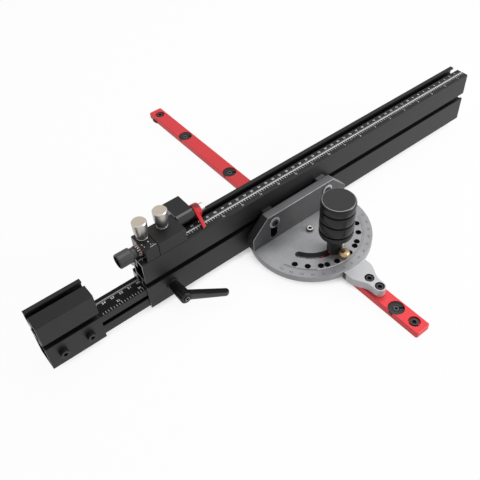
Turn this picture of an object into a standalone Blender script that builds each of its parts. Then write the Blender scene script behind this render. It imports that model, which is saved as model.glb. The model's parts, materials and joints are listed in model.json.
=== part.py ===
"""Miter gauge with a protractor head, a fence on a bracket, an extension and a flip stop.

Metres, +Z up. The bar lies along Y with its underside at z = 0, the pivot is the Z axis, the
fence lies along X on the far side of the pivot, and the operator stands on the -Y side.
"""

import math

import bmesh
import bpy
from mathutils import Matrix, Vector

# Clearances
GAP = 0.0003
MERGE = 0.000001
CHAMFER = 0.0005

# Bar
BAR_WIDTH = 0.019
BAR_THICKNESS = 0.008
BAR_NEAR = -0.170
BAR_FAR = 0.330
BAR_CORNER = 0.002
BAR_FLOOR = 0.002
DISC_RADIUS = 0.0086
DISC_THICKNESS = 0.0040
DISC_OFFSET = -0.0010
DISC_PLACES = (-0.134, 0.151, 0.251)
DISC_SLIT = 0.0012
DISC_SLIT_ANGLE = -40
CONE_RADIUS = 0.0033
END_SCREW_RADIUS = 0.0048
END_SCREW_NEAR = -0.1576
END_SCREW_FAR = 0.3165
END_RECESS_RADIUS = 0.0065
END_RECESS_DEPTH = 0.0035
T_WASHER_RADIUS = 0.0115
T_WASHER_THICKNESS = 0.0018

# Protractor plate
PLATE_RADIUS = 0.071
PLATE_THICKNESS = 0.008
PLATE_BACK = 0.0245
BEARING_RADIUS = 0.015
BEARING_THICKNESS = 0.0021
PIVOT_RADIUS = 0.0030
PIVOT_HEAD_RADIUS = 0.0042
PIVOT_HEAD_HEIGHT = 0.0036
INDEX_CIRCLE = 0.055
INDEX_HOLE_RADIUS = 0.0030
INDEX_ANGLES = (-60, -45, -30, -22.5, -10, 0, 10, 22.5, 30, 45, 60)
SLOT_CIRCLE = 0.040
SLOT_HALF_ANGLE = 60
STUD_RADIUS = 0.0037

# Pointer plate, its places along the bar measured outwards from the protractor's rim
POINTER_HALF_ANGLE = 12.3
POINTER_HALF_WIDTH = 0.0154
POINTER_TAIL_HALF_WIDTH = 0.0067
POINTER_SHOULDER = 0.0080
POINTER_NECK = 0.0310
POINTER_SCREW_PLACES = (0.0224, 0.0373)
POINTER_SCREW_HEAD_RADIUS = 0.0043
POINTER_SCREW_SINK = 0.0040

# Index pin
PIN_KNOB_RADIUS = 0.0058
PIN_KNOB_HEIGHT = 0.0085
PIN_ENGAGEMENT = 0.0020

# Handle
HANDLE_RADIUS = 0.019
HANDLE_HEIGHT = 0.0495
HANDLE_GROOVES = (0.0073, 0.0223, 0.0370)
HANDLE_GROOVE_WIDTH = 0.0024
HANDLE_GROOVE_DEPTH = 0.0012
HANDLE_BEVEL = 0.0015
HANDLE_BORE_DEPTH = 0.030
NECK_RADIUS = 0.00875
NECK_LENGTH = 0.027

# Fence bracket
BRACKET_FRONT = 0.0157
BRACKET_THICKNESS = 0.010
BRACKET_HALF_WIDTH = 0.070
BRACKET_TOP_HALF_WIDTH = 0.049
BRACKET_SHOULDER = 0.017
BRACKET_HEIGHT = 0.038
BRACKET_SLOT_WIDTH = 0.0075
BRACKET_SLOT_LENGTH = 0.026
BRACKET_SCREW_X = 0.040
PAD_WIDTH = 0.012
PAD_THICKNESS = 0.0044
FOOT_SCREW_PLACES = (-0.058, -0.018, 0.018, 0.058)
FOOT_SCREW_RADIUS = 0.0022
FOOT_SCREW_HEAD_RADIUS = 0.0045
FOOT_SCREW_LENGTH = 0.018

# Fence profile, its section measured from the bottom front corner
FENCE_LEFT = -0.1975
FENCE_LENGTH = 0.4998
FENCE_LIFT = 0.0012
FENCE_DEPTH = 0.0279
FENCE_HEIGHT = 0.0684
WALL = 0.0022
CHAMBER_HEIGHT = 0.0282
SLOT_OPENING = 0.0076
SLOT_LIP = 0.0020
FRONT_LIP = 0.0014
SLOT_DEPTH = 0.0060
FRONT_SLOT_HEIGHT = 0.0368
REAR_SLOT_OFFSET = -0.0012
TOP_OPENING = 0.0064
TOP_LIP = 0.0031
TOP_SLOT_DEPTH = 0.0072
TOP_SLOT_FROM_BACK = 0.0083
FENCE_EDGE_RADIUS = 0.0012
FENCE_TOP_RADIUS = 0.0015

# Extension profile and end block
EXTENSION_LENGTH = 0.300
EXTENSION_SLOT_OPENING = 0.0061
EXTENSION_SLOT_HEIGHT = 0.0152
BLOCK_LENGTH = 0.0606
BLOCK_LEFT = -0.3136
BLOCK_OVERHANG = 0.0036
BLOCK_SCREW_SPACING = 0.030

# Fasteners that run in the slots
NUT_LENGTH = 0.014
NUT_THICKNESS = 0.0032
SCREW_RADIUS = 0.0025
SCREW_HEAD_RADIUS = 0.0047
SCREW_HEAD_HEIGHT = 0.0050
HEX_RADIUS = 0.0023
HEX_DEPTH = 0.0022
WASHER_RADIUS = 0.0058
WASHER_THICKNESS = 0.0010

# Clamp lever
LEVER_X = -0.1682
LEVER_HUB_RADIUS = 0.0069
LEVER_HUB_LENGTH = 0.0245
LEVER_ROOT_DEPTH = 0.0065
LEVER_REACH = (0.0455, -0.0176, -0.0155)
LEVER_ROOT_HALF = (0.0058, 0.0042)
LEVER_TIP_HALF = (0.0042, 0.0034)
LEVER_SCREW_RADIUS = 0.0036

# Flip stop
STOP_SEAM = -0.1755
SEAM_GAP = 0.0006
ADJUSTER_LENGTH = 0.0167
CARRIAGE_LENGTH = 0.0327
STOP_HEIGHT = 0.0157
ADJUSTER_STUD_X = -0.1820
CARRIAGE_STUD_X = -0.1580
T_BOLT_RADIUS = 0.0025
T_BOLT_HEAD_HEIGHT = 0.0040
THUMB_RADIUS = 0.0077
THUMB_HEIGHT = 0.0205
THUMB_WASHER_RADIUS = 0.0070
LEAD_RADIUS = 0.0022
LEAD_INSIDE = 0.0245
KNOB_RADIUS = 0.0081
KNOB_LENGTH = 0.0156
KNOB_NECK_RADIUS = 0.0061
KNOB_NECK_LENGTH = 0.0026
COLLAR_RADIUS = 0.0069
COLLAR_LENGTH = 0.0037
RING_RADIUS = 0.0072
RING_THICKNESS = 0.0006
ROD_RADIUS = 0.0030
ROD_HEAD_RADIUS = 0.0046
ROD_HEAD_LENGTH = 0.0055
ROD_SEAT = 0.0080
ROD_Y = 0.0510
ROD_HEIGHT = 0.0104
ARM_WIDTH = 0.0205
ARM_BARREL_RADIUS = 0.0070
ARM_BACK = 0.0749
ARM_FENCE_CLEARANCE = 0.0009
ARM_BOTTOM = 0.0200
CURSOR_WIDTH = 0.0084
CURSOR_STEP = 0.0004
CURSOR_HAND_THICKNESS = 0.0042
CURSOR_RADIUS = 0.0076
CURSOR_ARM_WIDTH = 0.0046
CURSOR_TIP_Y = 0.0328
CURSOR_LIFT = 0.0004

# Places worked out from the sizes above
PLATE_BOTTOM = BAR_THICKNESS + BEARING_THICKNESS + 2 * GAP
PLATE_TOP = PLATE_BOTTOM + PLATE_THICKNESS
PLATE_SEAT = PLATE_TOP + GAP
POINTER_SCREWS = tuple(-PLATE_RADIUS - place for place in POINTER_SCREW_PLACES)
GRIP_BOTTOM = PLATE_SEAT + NECK_LENGTH
BRACKET_BACK = BRACKET_FRONT + BRACKET_THICKNESS
FENCE_FRONT = BRACKET_BACK + PAD_THICKNESS + 2 * GAP
FENCE_BACK = FENCE_FRONT + FENCE_DEPTH
FENCE_BOTTOM = BAR_THICKNESS + FENCE_LIFT
FENCE_TOP = FENCE_BOTTOM + FENCE_HEIGHT
FRONT_SLOT_Z = FENCE_BOTTOM + FRONT_SLOT_HEIGHT
TOP_SLOT_Y = FENCE_BACK - TOP_SLOT_FROM_BACK
EXTENSION_LEFT = BLOCK_LEFT + BLOCK_OVERHANG
EXTENSION_BOTTOM = FENCE_BOTTOM + WALL + GAP
EXTENSION_FRONT = FENCE_FRONT + WALL + GAP
EXTENSION_DEPTH = FENCE_DEPTH - 2 * WALL - 2 * GAP
EXTENSION_HEIGHT = CHAMBER_HEIGHT - 2 * GAP
EXTENSION_SLOT_Z = EXTENSION_BOTTOM + EXTENSION_SLOT_HEIGHT
BLOCK_MIDDLE = BLOCK_LEFT + BLOCK_LENGTH / 2
STOP_BOTTOM = FENCE_TOP + GAP
STOP_TOP = STOP_BOTTOM + STOP_HEIGHT
ADJUSTER_RIGHT = STOP_SEAM - SEAM_GAP / 2
ADJUSTER_LEFT = ADJUSTER_RIGHT - ADJUSTER_LENGTH
CARRIAGE_LEFT = STOP_SEAM + SEAM_GAP / 2
CARRIAGE_RIGHT = CARRIAGE_LEFT + CARRIAGE_LENGTH
LEAD_Y = FENCE_FRONT + FENCE_DEPTH / 2
LEAD_Z = STOP_BOTTOM + STOP_HEIGHT / 2
RING_LEFT = ADJUSTER_LEFT - GAP - RING_THICKNESS
COLLAR_LEFT = RING_LEFT - GAP - COLLAR_LENGTH
KNOB_LEFT = COLLAR_LEFT - GAP - KNOB_NECK_LENGTH - KNOB_LENGTH
ROD_Z = STOP_BOTTOM + ROD_HEIGHT
ARM_LEFT = CARRIAGE_RIGHT + GAP
ARM_RIGHT = ARM_LEFT + ARM_WIDTH
CURSOR_LEFT = ARM_RIGHT + GAP

# Moving bodies: name, parent, and the point on the joint's axis
BODIES = (
    ("bar_frame", None, (0, 0, 0)),
    ("head_frame", "bar_frame", (0, 0, PLATE_BOTTOM)),
    ("handle_frame", "bar_frame", (0, -SLOT_CIRCLE, PLATE_TOP)),
    ("pin_frame", "head_frame", (0, -INDEX_CIRCLE, PLATE_TOP)),
    ("fence_frame", "head_frame", (0, FENCE_FRONT, FENCE_BOTTOM)),
    ("extension_frame", "fence_frame", (EXTENSION_LEFT, EXTENSION_FRONT, EXTENSION_BOTTOM)),
    ("lever_frame", "fence_frame", (LEVER_X, FENCE_FRONT, EXTENSION_SLOT_Z)),
    ("adjuster_frame", "fence_frame", (STOP_SEAM, TOP_SLOT_Y, FENCE_TOP)),
    ("knob_frame", "adjuster_frame", (ADJUSTER_LEFT, LEAD_Y, LEAD_Z)),
    ("adjuster_nut_frame", "adjuster_frame", (ADJUSTER_STUD_X, TOP_SLOT_Y, STOP_TOP)),
    ("carriage_frame", "adjuster_frame", (STOP_SEAM, TOP_SLOT_Y, STOP_TOP)),
    ("carriage_nut_frame", "carriage_frame", (CARRIAGE_STUD_X, TOP_SLOT_Y, STOP_TOP)),
    ("arm_frame", "carriage_frame", (ARM_LEFT, ROD_Y, ROD_Z)),
)

# Materials: colour, metallic, roughness
LOOKS = {
    "red_anodised": ((0.42, 0.012, 0.022), 0.6, 0.35),
    "black_anodised": ((0.022, 0.022, 0.024), 0.4, 0.45),
    "blasted_aluminium": ((0.34, 0.35, 0.36), 0.8, 0.5),
    "black_steel": ((0.015, 0.015, 0.016), 0.7, 0.35),
    "bright_steel": ((0.60, 0.59, 0.57), 1.0, 0.25),
    "brass": ((0.70, 0.50, 0.18), 1.0, 0.3),
    "black_plastic": ((0.018, 0.018, 0.019), 0.0, 0.4),
    "red_plastic": ((0.60, 0.015, 0.03), 0.0, 0.4),
    "copper": ((0.72, 0.33, 0.22), 1.0, 0.35),
}

# The three ways a piece is laid: its local u, v, w directions in world axes
AXES = {
    "x": Matrix(((0, 0, 1), (1, 0, 0), (0, 1, 0))).to_4x4(),
    "y": Matrix(((1, 0, 0), (0, 0, 1), (0, 1, 0))).to_4x4(),
    "z": Matrix.Identity(4),
}


def clear_scene():
    for thing in list(bpy.data.objects):
        bpy.data.objects.remove(thing)


def make_material(name):
    colour, metallic, roughness = LOOKS[name]
    material = bpy.data.materials.new(name)
    material.use_nodes = True
    surface = material.node_tree.nodes["Principled BSDF"]
    surface.inputs["Base Color"].default_value = (*colour, 1)
    surface.inputs["Metallic"].default_value = metallic
    surface.inputs["Roughness"].default_value = roughness
    material.diffuse_color = (*colour, 1)
    return material


def make_frames():
    """One empty for each moving body, standing on its joint's axis."""
    places = {}
    for name, parent, place in BODIES:
        frame = bpy.data.objects.new(name, None)
        bpy.context.collection.objects.link(frame)
        frame.empty_display_size = 0.01
        frame.location = Vector(place) - Vector(places.get(parent, (0, 0, 0)))
        frame.parent = bpy.data.objects.get(parent) if parent else None
        places[name] = place
    return places


def arc(centre, radius, start, end, steps):
    """Points on an arc, both ends included, its angles in degrees."""
    turn = [math.radians(start + (end - start) * i / steps) for i in range(steps + 1)]
    return [(centre[0] + radius * math.cos(a), centre[1] + radius * math.sin(a)) for a in turn]


def rounded(corners, steps=4):
    """A closed outline from (u, v, radius) corners, each radius made an arc tangent to both sides."""
    points = []
    for i, (u, v, radius) in enumerate(corners):
        here = Vector((u, v))
        before = (Vector(corners[i - 1][:2]) - here).normalized()
        after = (Vector(corners[(i + 1) % len(corners)][:2]) - here).normalized()
        if radius == 0:
            points.append((u, v))
            continue
        half = before.angle(after) / 2
        middle = here + (before + after).normalized() * radius / math.sin(half)
        first = here + before * radius / math.tan(half) - middle
        last = here + after * radius / math.tan(half) - middle
        turn = first.angle_signed(last)
        for k in range(steps + 1):
            spoke = Matrix.Rotation(-turn * k / steps, 2) @ first
            points.append(tuple(middle + spoke))
    return points


def rectangle(u0, u1, v0, v1, radius=0.0):
    return [(u0, v0, radius), (u1, v0, radius), (u1, v1, radius), (u0, v1, radius)]


def hexagon(radius):
    return [(radius * math.cos(math.pi * k / 3), radius * math.sin(math.pi * k / 3)) for k in range(6)]


def extruded(outline, length, holes=()):
    """A prism along w from 0 to length, with holes right through it."""
    shape = bmesh.new()
    edges = []
    for loop in (outline, *holes):
        ring = [shape.verts.new((u, v, 0)) for u, v in loop]
        edges += [shape.edges.new(pair) for pair in zip(ring, ring[1:] + ring[:1])]
    if holes:
        bmesh.ops.triangle_fill(shape, use_beauty=True, edges=edges)
    else:
        shape.faces.new(ring)
    raised = bmesh.ops.extrude_face_region(shape, geom=shape.faces[:])["geom"]
    corners = [part for part in raised if isinstance(part, bmesh.types.BMVert)]
    bmesh.ops.translate(shape, verts=corners, vec=(0, 0, length))
    bmesh.ops.recalc_face_normals(shape, faces=shape.faces)
    return shape


def turned(profile, segments=32, ring=False):
    """A solid turned about w from (radius, height) points, or a ring when the profile is closed."""
    shape = bmesh.new()
    verts = [shape.verts.new((radius, 0, height)) for radius, height in profile]
    edges = [shape.edges.new(pair) for pair in zip(verts, verts[1:])]
    if ring:
        edges.append(shape.edges.new((verts[-1], verts[0])))
    bmesh.ops.spin(
        shape,
        geom=verts + edges,
        cent=(0, 0, 0),
        axis=(0, 0, 1),
        angle=2 * math.pi,
        steps=segments,
        use_merge=True,
    )
    bmesh.ops.remove_doubles(shape, verts=shape.verts, dist=MERGE)
    bmesh.ops.recalc_face_normals(shape, faces=shape.faces)
    return shape


def rod(radius, start, end, segments=16):
    return turned([(0, start), (radius, start), (radius, end), (0, end)], segments)


def lofted(rings):
    """A closed solid through rings of points, each ring with as many points as the next."""
    shape = bmesh.new()
    loops = [[shape.verts.new(point) for point in ring] for ring in rings]
    for low, high in zip(loops, loops[1:]):
        for k in range(len(low)):
            after = (k + 1) % len(low)
            shape.faces.new((low[k], low[after], high[after], high[k]))
    shape.faces.new(loops[0])
    shape.faces.new(loops[-1])
    bmesh.ops.recalc_face_normals(shape, faces=shape.faces)
    return shape


def moved(shape, axis="z", place=(0, 0, 0)):
    """The shape laid along a world axis, with its own origin at a place."""
    shape.transform(Matrix.Translation(place) @ AXES[axis])
    shape.normal_update()
    bmesh.ops.recalc_face_normals(shape, faces=shape.faces)
    return shape


def gathered(shapes):
    """Several separate shapes as one mesh, for a cutter."""
    whole = bmesh.new()
    for shape in shapes:
        part = bpy.data.meshes.new("part")
        shape.to_mesh(part)
        shape.free()
        whole.from_mesh(part)
        bpy.data.meshes.remove(part)
    return whole


def add(name, shape, body, look=None):
    """An object whose origin is its body's joint point. With no look it is a hidden cutter."""
    mesh = bpy.data.meshes.new(name)
    shape.transform(Matrix.Translation(-Vector(PLACES[body])))
    shape.to_mesh(mesh)
    shape.free()
    piece = bpy.data.objects.new(name, mesh)
    bpy.context.collection.objects.link(piece)
    piece.parent = bpy.data.objects[body]
    if look:
        mesh.materials.append(MATERIALS[look])
        mesh.shade_smooth()
        mesh.set_sharp_from_angle(angle=math.radians(35))
    else:
        piece.hide_render = True
        piece.display_type = "WIRE"
    return piece


def combine(piece, shapes, body, operation="DIFFERENCE"):
    """Cuts the shapes out of a piece, or joins them to it."""
    tool = add(f"{piece.name}_{operation.lower()}_{len(piece.modifiers)}", gathered(shapes), body)
    boolean = piece.modifiers.new(operation.title(), "BOOLEAN")
    boolean.operation = operation
    boolean.object = tool


def bevel(piece, width=CHAMFER, segments=1):
    edges = piece.modifiers.new("Bevel", "BEVEL")
    edges.width = width
    edges.segments = segments
    edges.limit_method = "ANGLE"
    edges.angle_limit = math.radians(40)


def cap_screw(name, body, axis, place, direction, look, head, shank, hexagon_radius=HEX_RADIUS):
    """A socket screw whose head's seat is at the place. head is (radius, height), shank the same."""
    edge = head[0] * 0.12
    profile = [
        (0, -shank[1]),
        (shank[0], -shank[1]),
        (shank[0], 0),
        (head[0], 0),
        (head[0], head[1] - edge),
        (head[0] - edge, head[1]),
        (0, head[1]),
    ]
    socket = extruded(hexagon(hexagon_radius), HEX_DEPTH + CHAMFER)
    bmesh.ops.translate(socket, verts=socket.verts, vec=(0, 0, head[1] - HEX_DEPTH))
    body_shape = turned(profile, 12)
    for shape in (body_shape, socket):
        bmesh.ops.scale(shape, vec=(1, 1, direction), verts=shape.verts)
        moved(shape, axis, place)
    screw = add(name, body_shape, body, look)
    combine(screw, [socket], body)
    return screw


def washer(name, body, axis, place, radius, hole, thickness, look):
    profile = [(hole, 0), (radius, 0), (radius, thickness), (hole, thickness)]
    return add(name, moved(turned(profile, 16, ring=True), axis, place), body, look)


def make_bar():
    outline = rounded(rectangle(-BAR_WIDTH / 2, BAR_WIDTH / 2, BAR_NEAR, BAR_FAR, BAR_CORNER))
    bar = add("bar", extruded(outline, BAR_THICKNESS), "bar_frame", "red_anodised")
    bevel(bar)
    above = BAR_THICKNESS + GAP
    cuts = []
    pocket = BAR_THICKNESS - DISC_THICKNESS - GAP
    for place in DISC_PLACES:
        profile = [
            (0, BAR_FLOOR),
            (SCREW_RADIUS, BAR_FLOOR),
            (SCREW_RADIUS, pocket),
            (DISC_RADIUS + GAP, pocket),
            (DISC_RADIUS + GAP, above),
            (0, above),
        ]
        cuts.append(moved(turned(profile, 24), "z", (DISC_OFFSET, place, 0)))
    near = [
        (0, BAR_FLOOR),
        (SCREW_RADIUS, BAR_FLOOR),
        (SCREW_RADIUS, BAR_THICKNESS - END_RECESS_DEPTH),
        (END_RECESS_RADIUS, BAR_THICKNESS - END_RECESS_DEPTH),
        (END_RECESS_RADIUS, above),
        (0, above),
    ]
    cuts.append(moved(turned(near, 16), "z", (0, END_SCREW_NEAR, 0)))
    far = [(0, -GAP), (T_WASHER_RADIUS + GAP, -GAP), (T_WASHER_RADIUS + GAP, T_WASHER_THICKNESS + 2 * GAP)]
    far += [(SCREW_RADIUS + GAP, T_WASHER_THICKNESS + 2 * GAP)]
    far += [(SCREW_RADIUS + GAP, BAR_THICKNESS - END_RECESS_DEPTH), *near[3:]]
    cuts.append(moved(turned(far, 16), "z", (0, END_SCREW_FAR, 0)))
    holes = [(0, PIVOT_RADIUS + GAP), (-SLOT_CIRCLE, STUD_RADIUS + GAP)]
    holes += [(-INDEX_CIRCLE, INDEX_HOLE_RADIUS + GAP)]
    holes += [(place, SCREW_RADIUS + GAP) for place in POINTER_SCREWS]
    for place, radius in holes:
        cuts.append(moved(rod(radius, BAR_FLOOR, above, 12), "z", (0, place, 0)))
    combine(bar, cuts, "bar_frame")


def make_expansion_disc(number, place):
    """A disc split on one side, spread by the cone screw in its middle."""
    bottom = BAR_THICKNESS - DISC_THICKNESS
    edge = CHAMFER
    thickness = DISC_THICKNESS - edge
    profile = [
        (SCREW_RADIUS + GAP, 0),
        (DISC_RADIUS, 0),
        (DISC_RADIUS, thickness - edge),
        (DISC_RADIUS - edge, thickness),
        (CONE_RADIUS + GAP, thickness),
        (SCREW_RADIUS + GAP, thickness - (CONE_RADIUS - SCREW_RADIUS)),
    ]
    centre = (DISC_OFFSET, place, bottom)
    disc = add(f"expansion_disc_{number}", moved(turned(profile, 24, ring=True), "z", centre),
               "bar_frame", "black_plastic")
    slit = extruded([(0, -DISC_SLIT / 2), (2 * DISC_RADIUS, -DISC_SLIT / 2),
                     (2 * DISC_RADIUS, DISC_SLIT / 2), (0, DISC_SLIT / 2)], DISC_THICKNESS + 2 * GAP)
    turn = Matrix.Rotation(math.radians(DISC_SLIT_ANGLE), 3, "Z")
    bmesh.ops.rotate(slit, verts=slit.verts, cent=(0, 0, 0), matrix=turn)
    combine(disc, [moved(slit, "z", (DISC_OFFSET, place, bottom - GAP))], "bar_frame")
    step = CONE_RADIUS - SCREW_RADIUS
    top = thickness - GAP
    cone = [
        (0, BAR_FLOOR - bottom + GAP),
        (SCREW_RADIUS - GAP, BAR_FLOOR - bottom + GAP),
        (SCREW_RADIUS - GAP, top - step),
        (CONE_RADIUS - GAP, top),
        (0, top),
    ]
    screw = add(f"expansion_screw_{number}", moved(turned(cone, 16), "z", centre),
                "bar_frame", "black_steel")
    socket = extruded(hexagon(CONE_RADIUS * 0.55), HEX_DEPTH + GAP)
    combine(screw, [moved(socket, "z", (DISC_OFFSET, place, bottom + top - HEX_DEPTH))], "bar_frame")


def make_bar_fittings():
    for number, place in enumerate(DISC_PLACES, 1):
        make_expansion_disc(number, place)
    seat = BAR_THICKNESS - END_RECESS_DEPTH + GAP
    head = (END_SCREW_RADIUS, END_RECESS_DEPTH - 2 * GAP)
    depth = seat - BAR_FLOOR - GAP
    cap_screw("end_screw_near", "bar_frame", "z", (0, END_SCREW_NEAR, seat), 1, "black_steel",
              head, (SCREW_RADIUS - GAP, depth))
    cap_screw("end_screw_far", "bar_frame", "z", (0, END_SCREW_FAR, seat), 1, "black_steel",
              head, (SCREW_RADIUS - GAP, seat - GAP))
    washer("t_slot_washer", "bar_frame", "z", (0, END_SCREW_FAR, GAP), T_WASHER_RADIUS,
           SCREW_RADIUS, T_WASHER_THICKNESS, "black_steel")
    washer("pivot_bearing", "bar_frame", "z", (0, 0, BAR_THICKNESS + GAP), BEARING_RADIUS,
           PIVOT_RADIUS + GAP, BEARING_THICKNESS, "brass")
    cap_screw("pivot_screw", "bar_frame", "z", (0, 0, PLATE_SEAT), 1, "bright_steel",
              (PIVOT_HEAD_RADIUS, PIVOT_HEAD_HEIGHT), (PIVOT_RADIUS, PLATE_SEAT - BAR_FLOOR - GAP))
    stud_bottom = BAR_FLOOR + GAP
    stud_top = GRIP_BOTTOM + HANDLE_BORE_DEPTH - 2 * GAP
    stud = rod(STUD_RADIUS, stud_bottom, stud_top, 24)
    add("handle_stud", moved(stud, "z", (0, -SLOT_CIRCLE, 0)), "bar_frame", "bright_steel")


def pointer_outline():
    """The plate's outline seen from above: a hollow end round the rim, a cosine waist and a round tail."""
    rim = arc((0, 0), PLATE_RADIUS + GAP, -90 - POINTER_HALF_ANGLE, -90 + POINTER_HALF_ANGLE, 16)
    shoulder = -PLATE_RADIUS - POINTER_SHOULDER
    waist = POINTER_NECK - POINTER_SHOULDER
    right = [(POINTER_HALF_WIDTH, shoulder)]
    steps = 8
    for k in range(1, steps + 1):
        share = (1 + math.cos(math.pi * k / steps)) / 2
        half = POINTER_TAIL_HALF_WIDTH + (POINTER_HALF_WIDTH - POINTER_TAIL_HALF_WIDTH) * share
        right.append((half, shoulder - waist * k / steps))
    tail = arc((0, POINTER_SCREWS[1]), POINTER_TAIL_HALF_WIDTH, 0, -180, 14)
    left = [(-u, v) for u, v in reversed(right)]
    return rim + right + tail + left


def make_pointer():
    bottom = BAR_THICKNESS + GAP
    height = PLATE_TOP - bottom
    shape = moved(extruded(pointer_outline(), height), "z", (0, 0, bottom))
    plate = add("pointer_plate", shape, "bar_frame", "blasted_aluminium")
    bevel(plate)
    seat = PLATE_TOP - POINTER_SCREW_SINK - SCREW_HEAD_HEIGHT
    sunk = POINTER_SCREW_HEAD_RADIUS + 2 * GAP
    counterbore = [
        (0, -GAP),
        (SCREW_RADIUS + GAP, -GAP),
        (SCREW_RADIUS + GAP, seat - bottom),
        (sunk, seat - bottom),
        (sunk, height - CHAMFER),
        (sunk + CHAMFER + GAP, height + GAP),
        (0, height + GAP),
    ]
    cuts = [moved(turned(counterbore, 16), "z", (0, place, bottom)) for place in POINTER_SCREWS]
    combine(plate, cuts, "bar_frame")
    for number, place in enumerate(POINTER_SCREWS, 1):
        cap_screw(f"pointer_screw_{number}", "bar_frame", "z", (0, place, seat + GAP), 1, "black_steel",
                  (POINTER_SCREW_HEAD_RADIUS, SCREW_HEAD_HEIGHT + POINTER_SCREW_SINK - 2 * GAP),
                  (SCREW_RADIUS, seat - BAR_FLOOR))


def on_circle(radius, angle):
    """The point of the head at an angle from straight towards the operator."""
    turn = math.radians(angle)
    return (radius * math.sin(turn), -radius * math.cos(turn))


def slot_outline(half_width):
    """The curved slot's outline: two arcs about the pivot, joined by round ends."""
    first, last = -90 - SLOT_HALF_ANGLE, -90 + SLOT_HALF_ANGLE
    outer = arc((0, 0), SLOT_CIRCLE + half_width, first, last, 20)
    inner = arc((0, 0), SLOT_CIRCLE - half_width, last, first, 20)
    end = arc(on_circle(SLOT_CIRCLE, SLOT_HALF_ANGLE), half_width, last, last + 180, 6)
    start = arc(on_circle(SLOT_CIRCLE, -SLOT_HALF_ANGLE), half_width, first + 180, first + 360, 6)
    return outer + end[1:-1] + inner + start[1:-1]


def make_plate():
    edge = math.degrees(math.asin(PLATE_BACK / PLATE_RADIUS))
    outline = arc((0, 0), PLATE_RADIUS, -180 - edge, edge, 48)
    shape = moved(extruded(outline, PLATE_THICKNESS), "z", (0, 0, PLATE_BOTTOM))
    plate = add("protractor_plate", shape, "head_frame", "blasted_aluminium")
    bevel(plate)
    low, high = PLATE_BOTTOM - GAP, PLATE_TOP + GAP
    cuts = []
    for angle in INDEX_ANGLES:
        place = (*on_circle(INDEX_CIRCLE, angle), 0)
        cuts.append(moved(rod(INDEX_HOLE_RADIUS, low, high, 12), "z", place))
    cuts.append(rod(PIVOT_RADIUS + GAP, low, high, 24))
    slot = extruded(slot_outline(STUD_RADIUS + GAP), high - low)
    cuts.append(moved(slot, "z", (0, 0, low)))
    for place in FOOT_SCREW_PLACES:
        cuts.append(moved(turned(foot_screw_profile(GAP), 12), "z", (place, foot_screw_y(), PLATE_BOTTOM)))
    combine(plate, cuts, "head_frame")


def foot_screw_y():
    return (BRACKET_FRONT + PLATE_BACK) / 2


def foot_screw_profile(ease=0.0):
    """A flat countersunk screw from below, or the hole for it when eased outwards."""
    low = -GAP if ease else GAP
    cone = FOOT_SCREW_HEAD_RADIUS - FOOT_SCREW_RADIUS
    return [
        (0, low),
        (FOOT_SCREW_HEAD_RADIUS + ease, low),
        (FOOT_SCREW_HEAD_RADIUS + ease, 2 * GAP),
        (FOOT_SCREW_RADIUS + ease, 2 * GAP + cone),
        (FOOT_SCREW_RADIUS + ease, FOOT_SCREW_LENGTH + ease),
        (0, FOOT_SCREW_LENGTH + ease),
    ]


def make_foot_screws():
    for number, place in enumerate(FOOT_SCREW_PLACES, 1):
        screw = moved(turned(foot_screw_profile(), 12), "z", (place, foot_screw_y(), PLATE_BOTTOM))
        socket = moved(extruded(hexagon(HEX_RADIUS), HEX_DEPTH), "z", (place, foot_screw_y(), PLATE_BOTTOM))
        piece = add(f"foot_screw_{number}", screw, "head_frame", "black_steel")
        combine(piece, [socket], "head_frame")


def make_index_pin():
    """A turned pin with a knob, held just clear of the bar so that the head can swivel."""
    tip = BAR_THICKNESS + GAP - PLATE_TOP
    base = PIN_ENGAGEMENT + GAP
    shank = INDEX_HOLE_RADIUS - GAP
    top = base + PIN_KNOB_HEIGHT
    waist = PIN_KNOB_RADIUS * 0.72
    profile = [
        (0, tip),
        (shank - CHAMFER, tip),
        (shank, tip + CHAMFER),
        (shank, base),
        (waist, base),
        (PIN_KNOB_RADIUS * 0.93, base + PIN_KNOB_HEIGHT * 0.22),
        (PIN_KNOB_RADIUS, base + PIN_KNOB_HEIGHT * 0.45),
        (PIN_KNOB_RADIUS * 0.96, base + PIN_KNOB_HEIGHT * 0.72),
        (PIN_KNOB_RADIUS * 0.74, top - CHAMFER),
        (PIN_KNOB_RADIUS * 0.5, top),
        (0, top),
    ]
    pin = moved(turned(profile, 18), "z", (0, -INDEX_CIRCLE, PLATE_TOP))
    add("index_pin", pin, "pin_frame", "brass")


def make_handle():
    bore = STUD_RADIUS + GAP
    profile = [(0, HANDLE_BORE_DEPTH), (bore, HANDLE_BORE_DEPTH), (bore, 0)]
    profile += [(HANDLE_RADIUS - HANDLE_BEVEL, 0), (HANDLE_RADIUS, HANDLE_BEVEL)]
    deep = HANDLE_RADIUS - HANDLE_GROOVE_DEPTH
    for low in HANDLE_GROOVES:
        high = low + HANDLE_GROOVE_WIDTH
        slope = HANDLE_GROOVE_DEPTH / 3
        profile += [(HANDLE_RADIUS, low), (deep, low + slope), (deep, high - slope), (HANDLE_RADIUS, high)]
    profile += [(HANDLE_RADIUS, HANDLE_HEIGHT - HANDLE_BEVEL), (HANDLE_RADIUS - HANDLE_BEVEL, HANDLE_HEIGHT)]
    profile += [(0, HANDLE_HEIGHT)]
    grip = moved(turned(profile, 24), "z", (0, -SLOT_CIRCLE, GRIP_BOTTOM))
    add("handle_grip", grip, "handle_frame", "black_plastic")
    length = NECK_LENGTH - GAP
    neck = [
        (bore, 0),
        (NECK_RADIUS - CHAMFER, 0),
        (NECK_RADIUS, CHAMFER),
        (NECK_RADIUS, length - CHAMFER),
        (NECK_RADIUS - CHAMFER, length),
        (bore, length),
    ]
    add("handle_neck", moved(turned(neck, 28, ring=True), "z", (0, -SLOT_CIRCLE, PLATE_SEAT)),
        "handle_frame", "black_steel")


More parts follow.
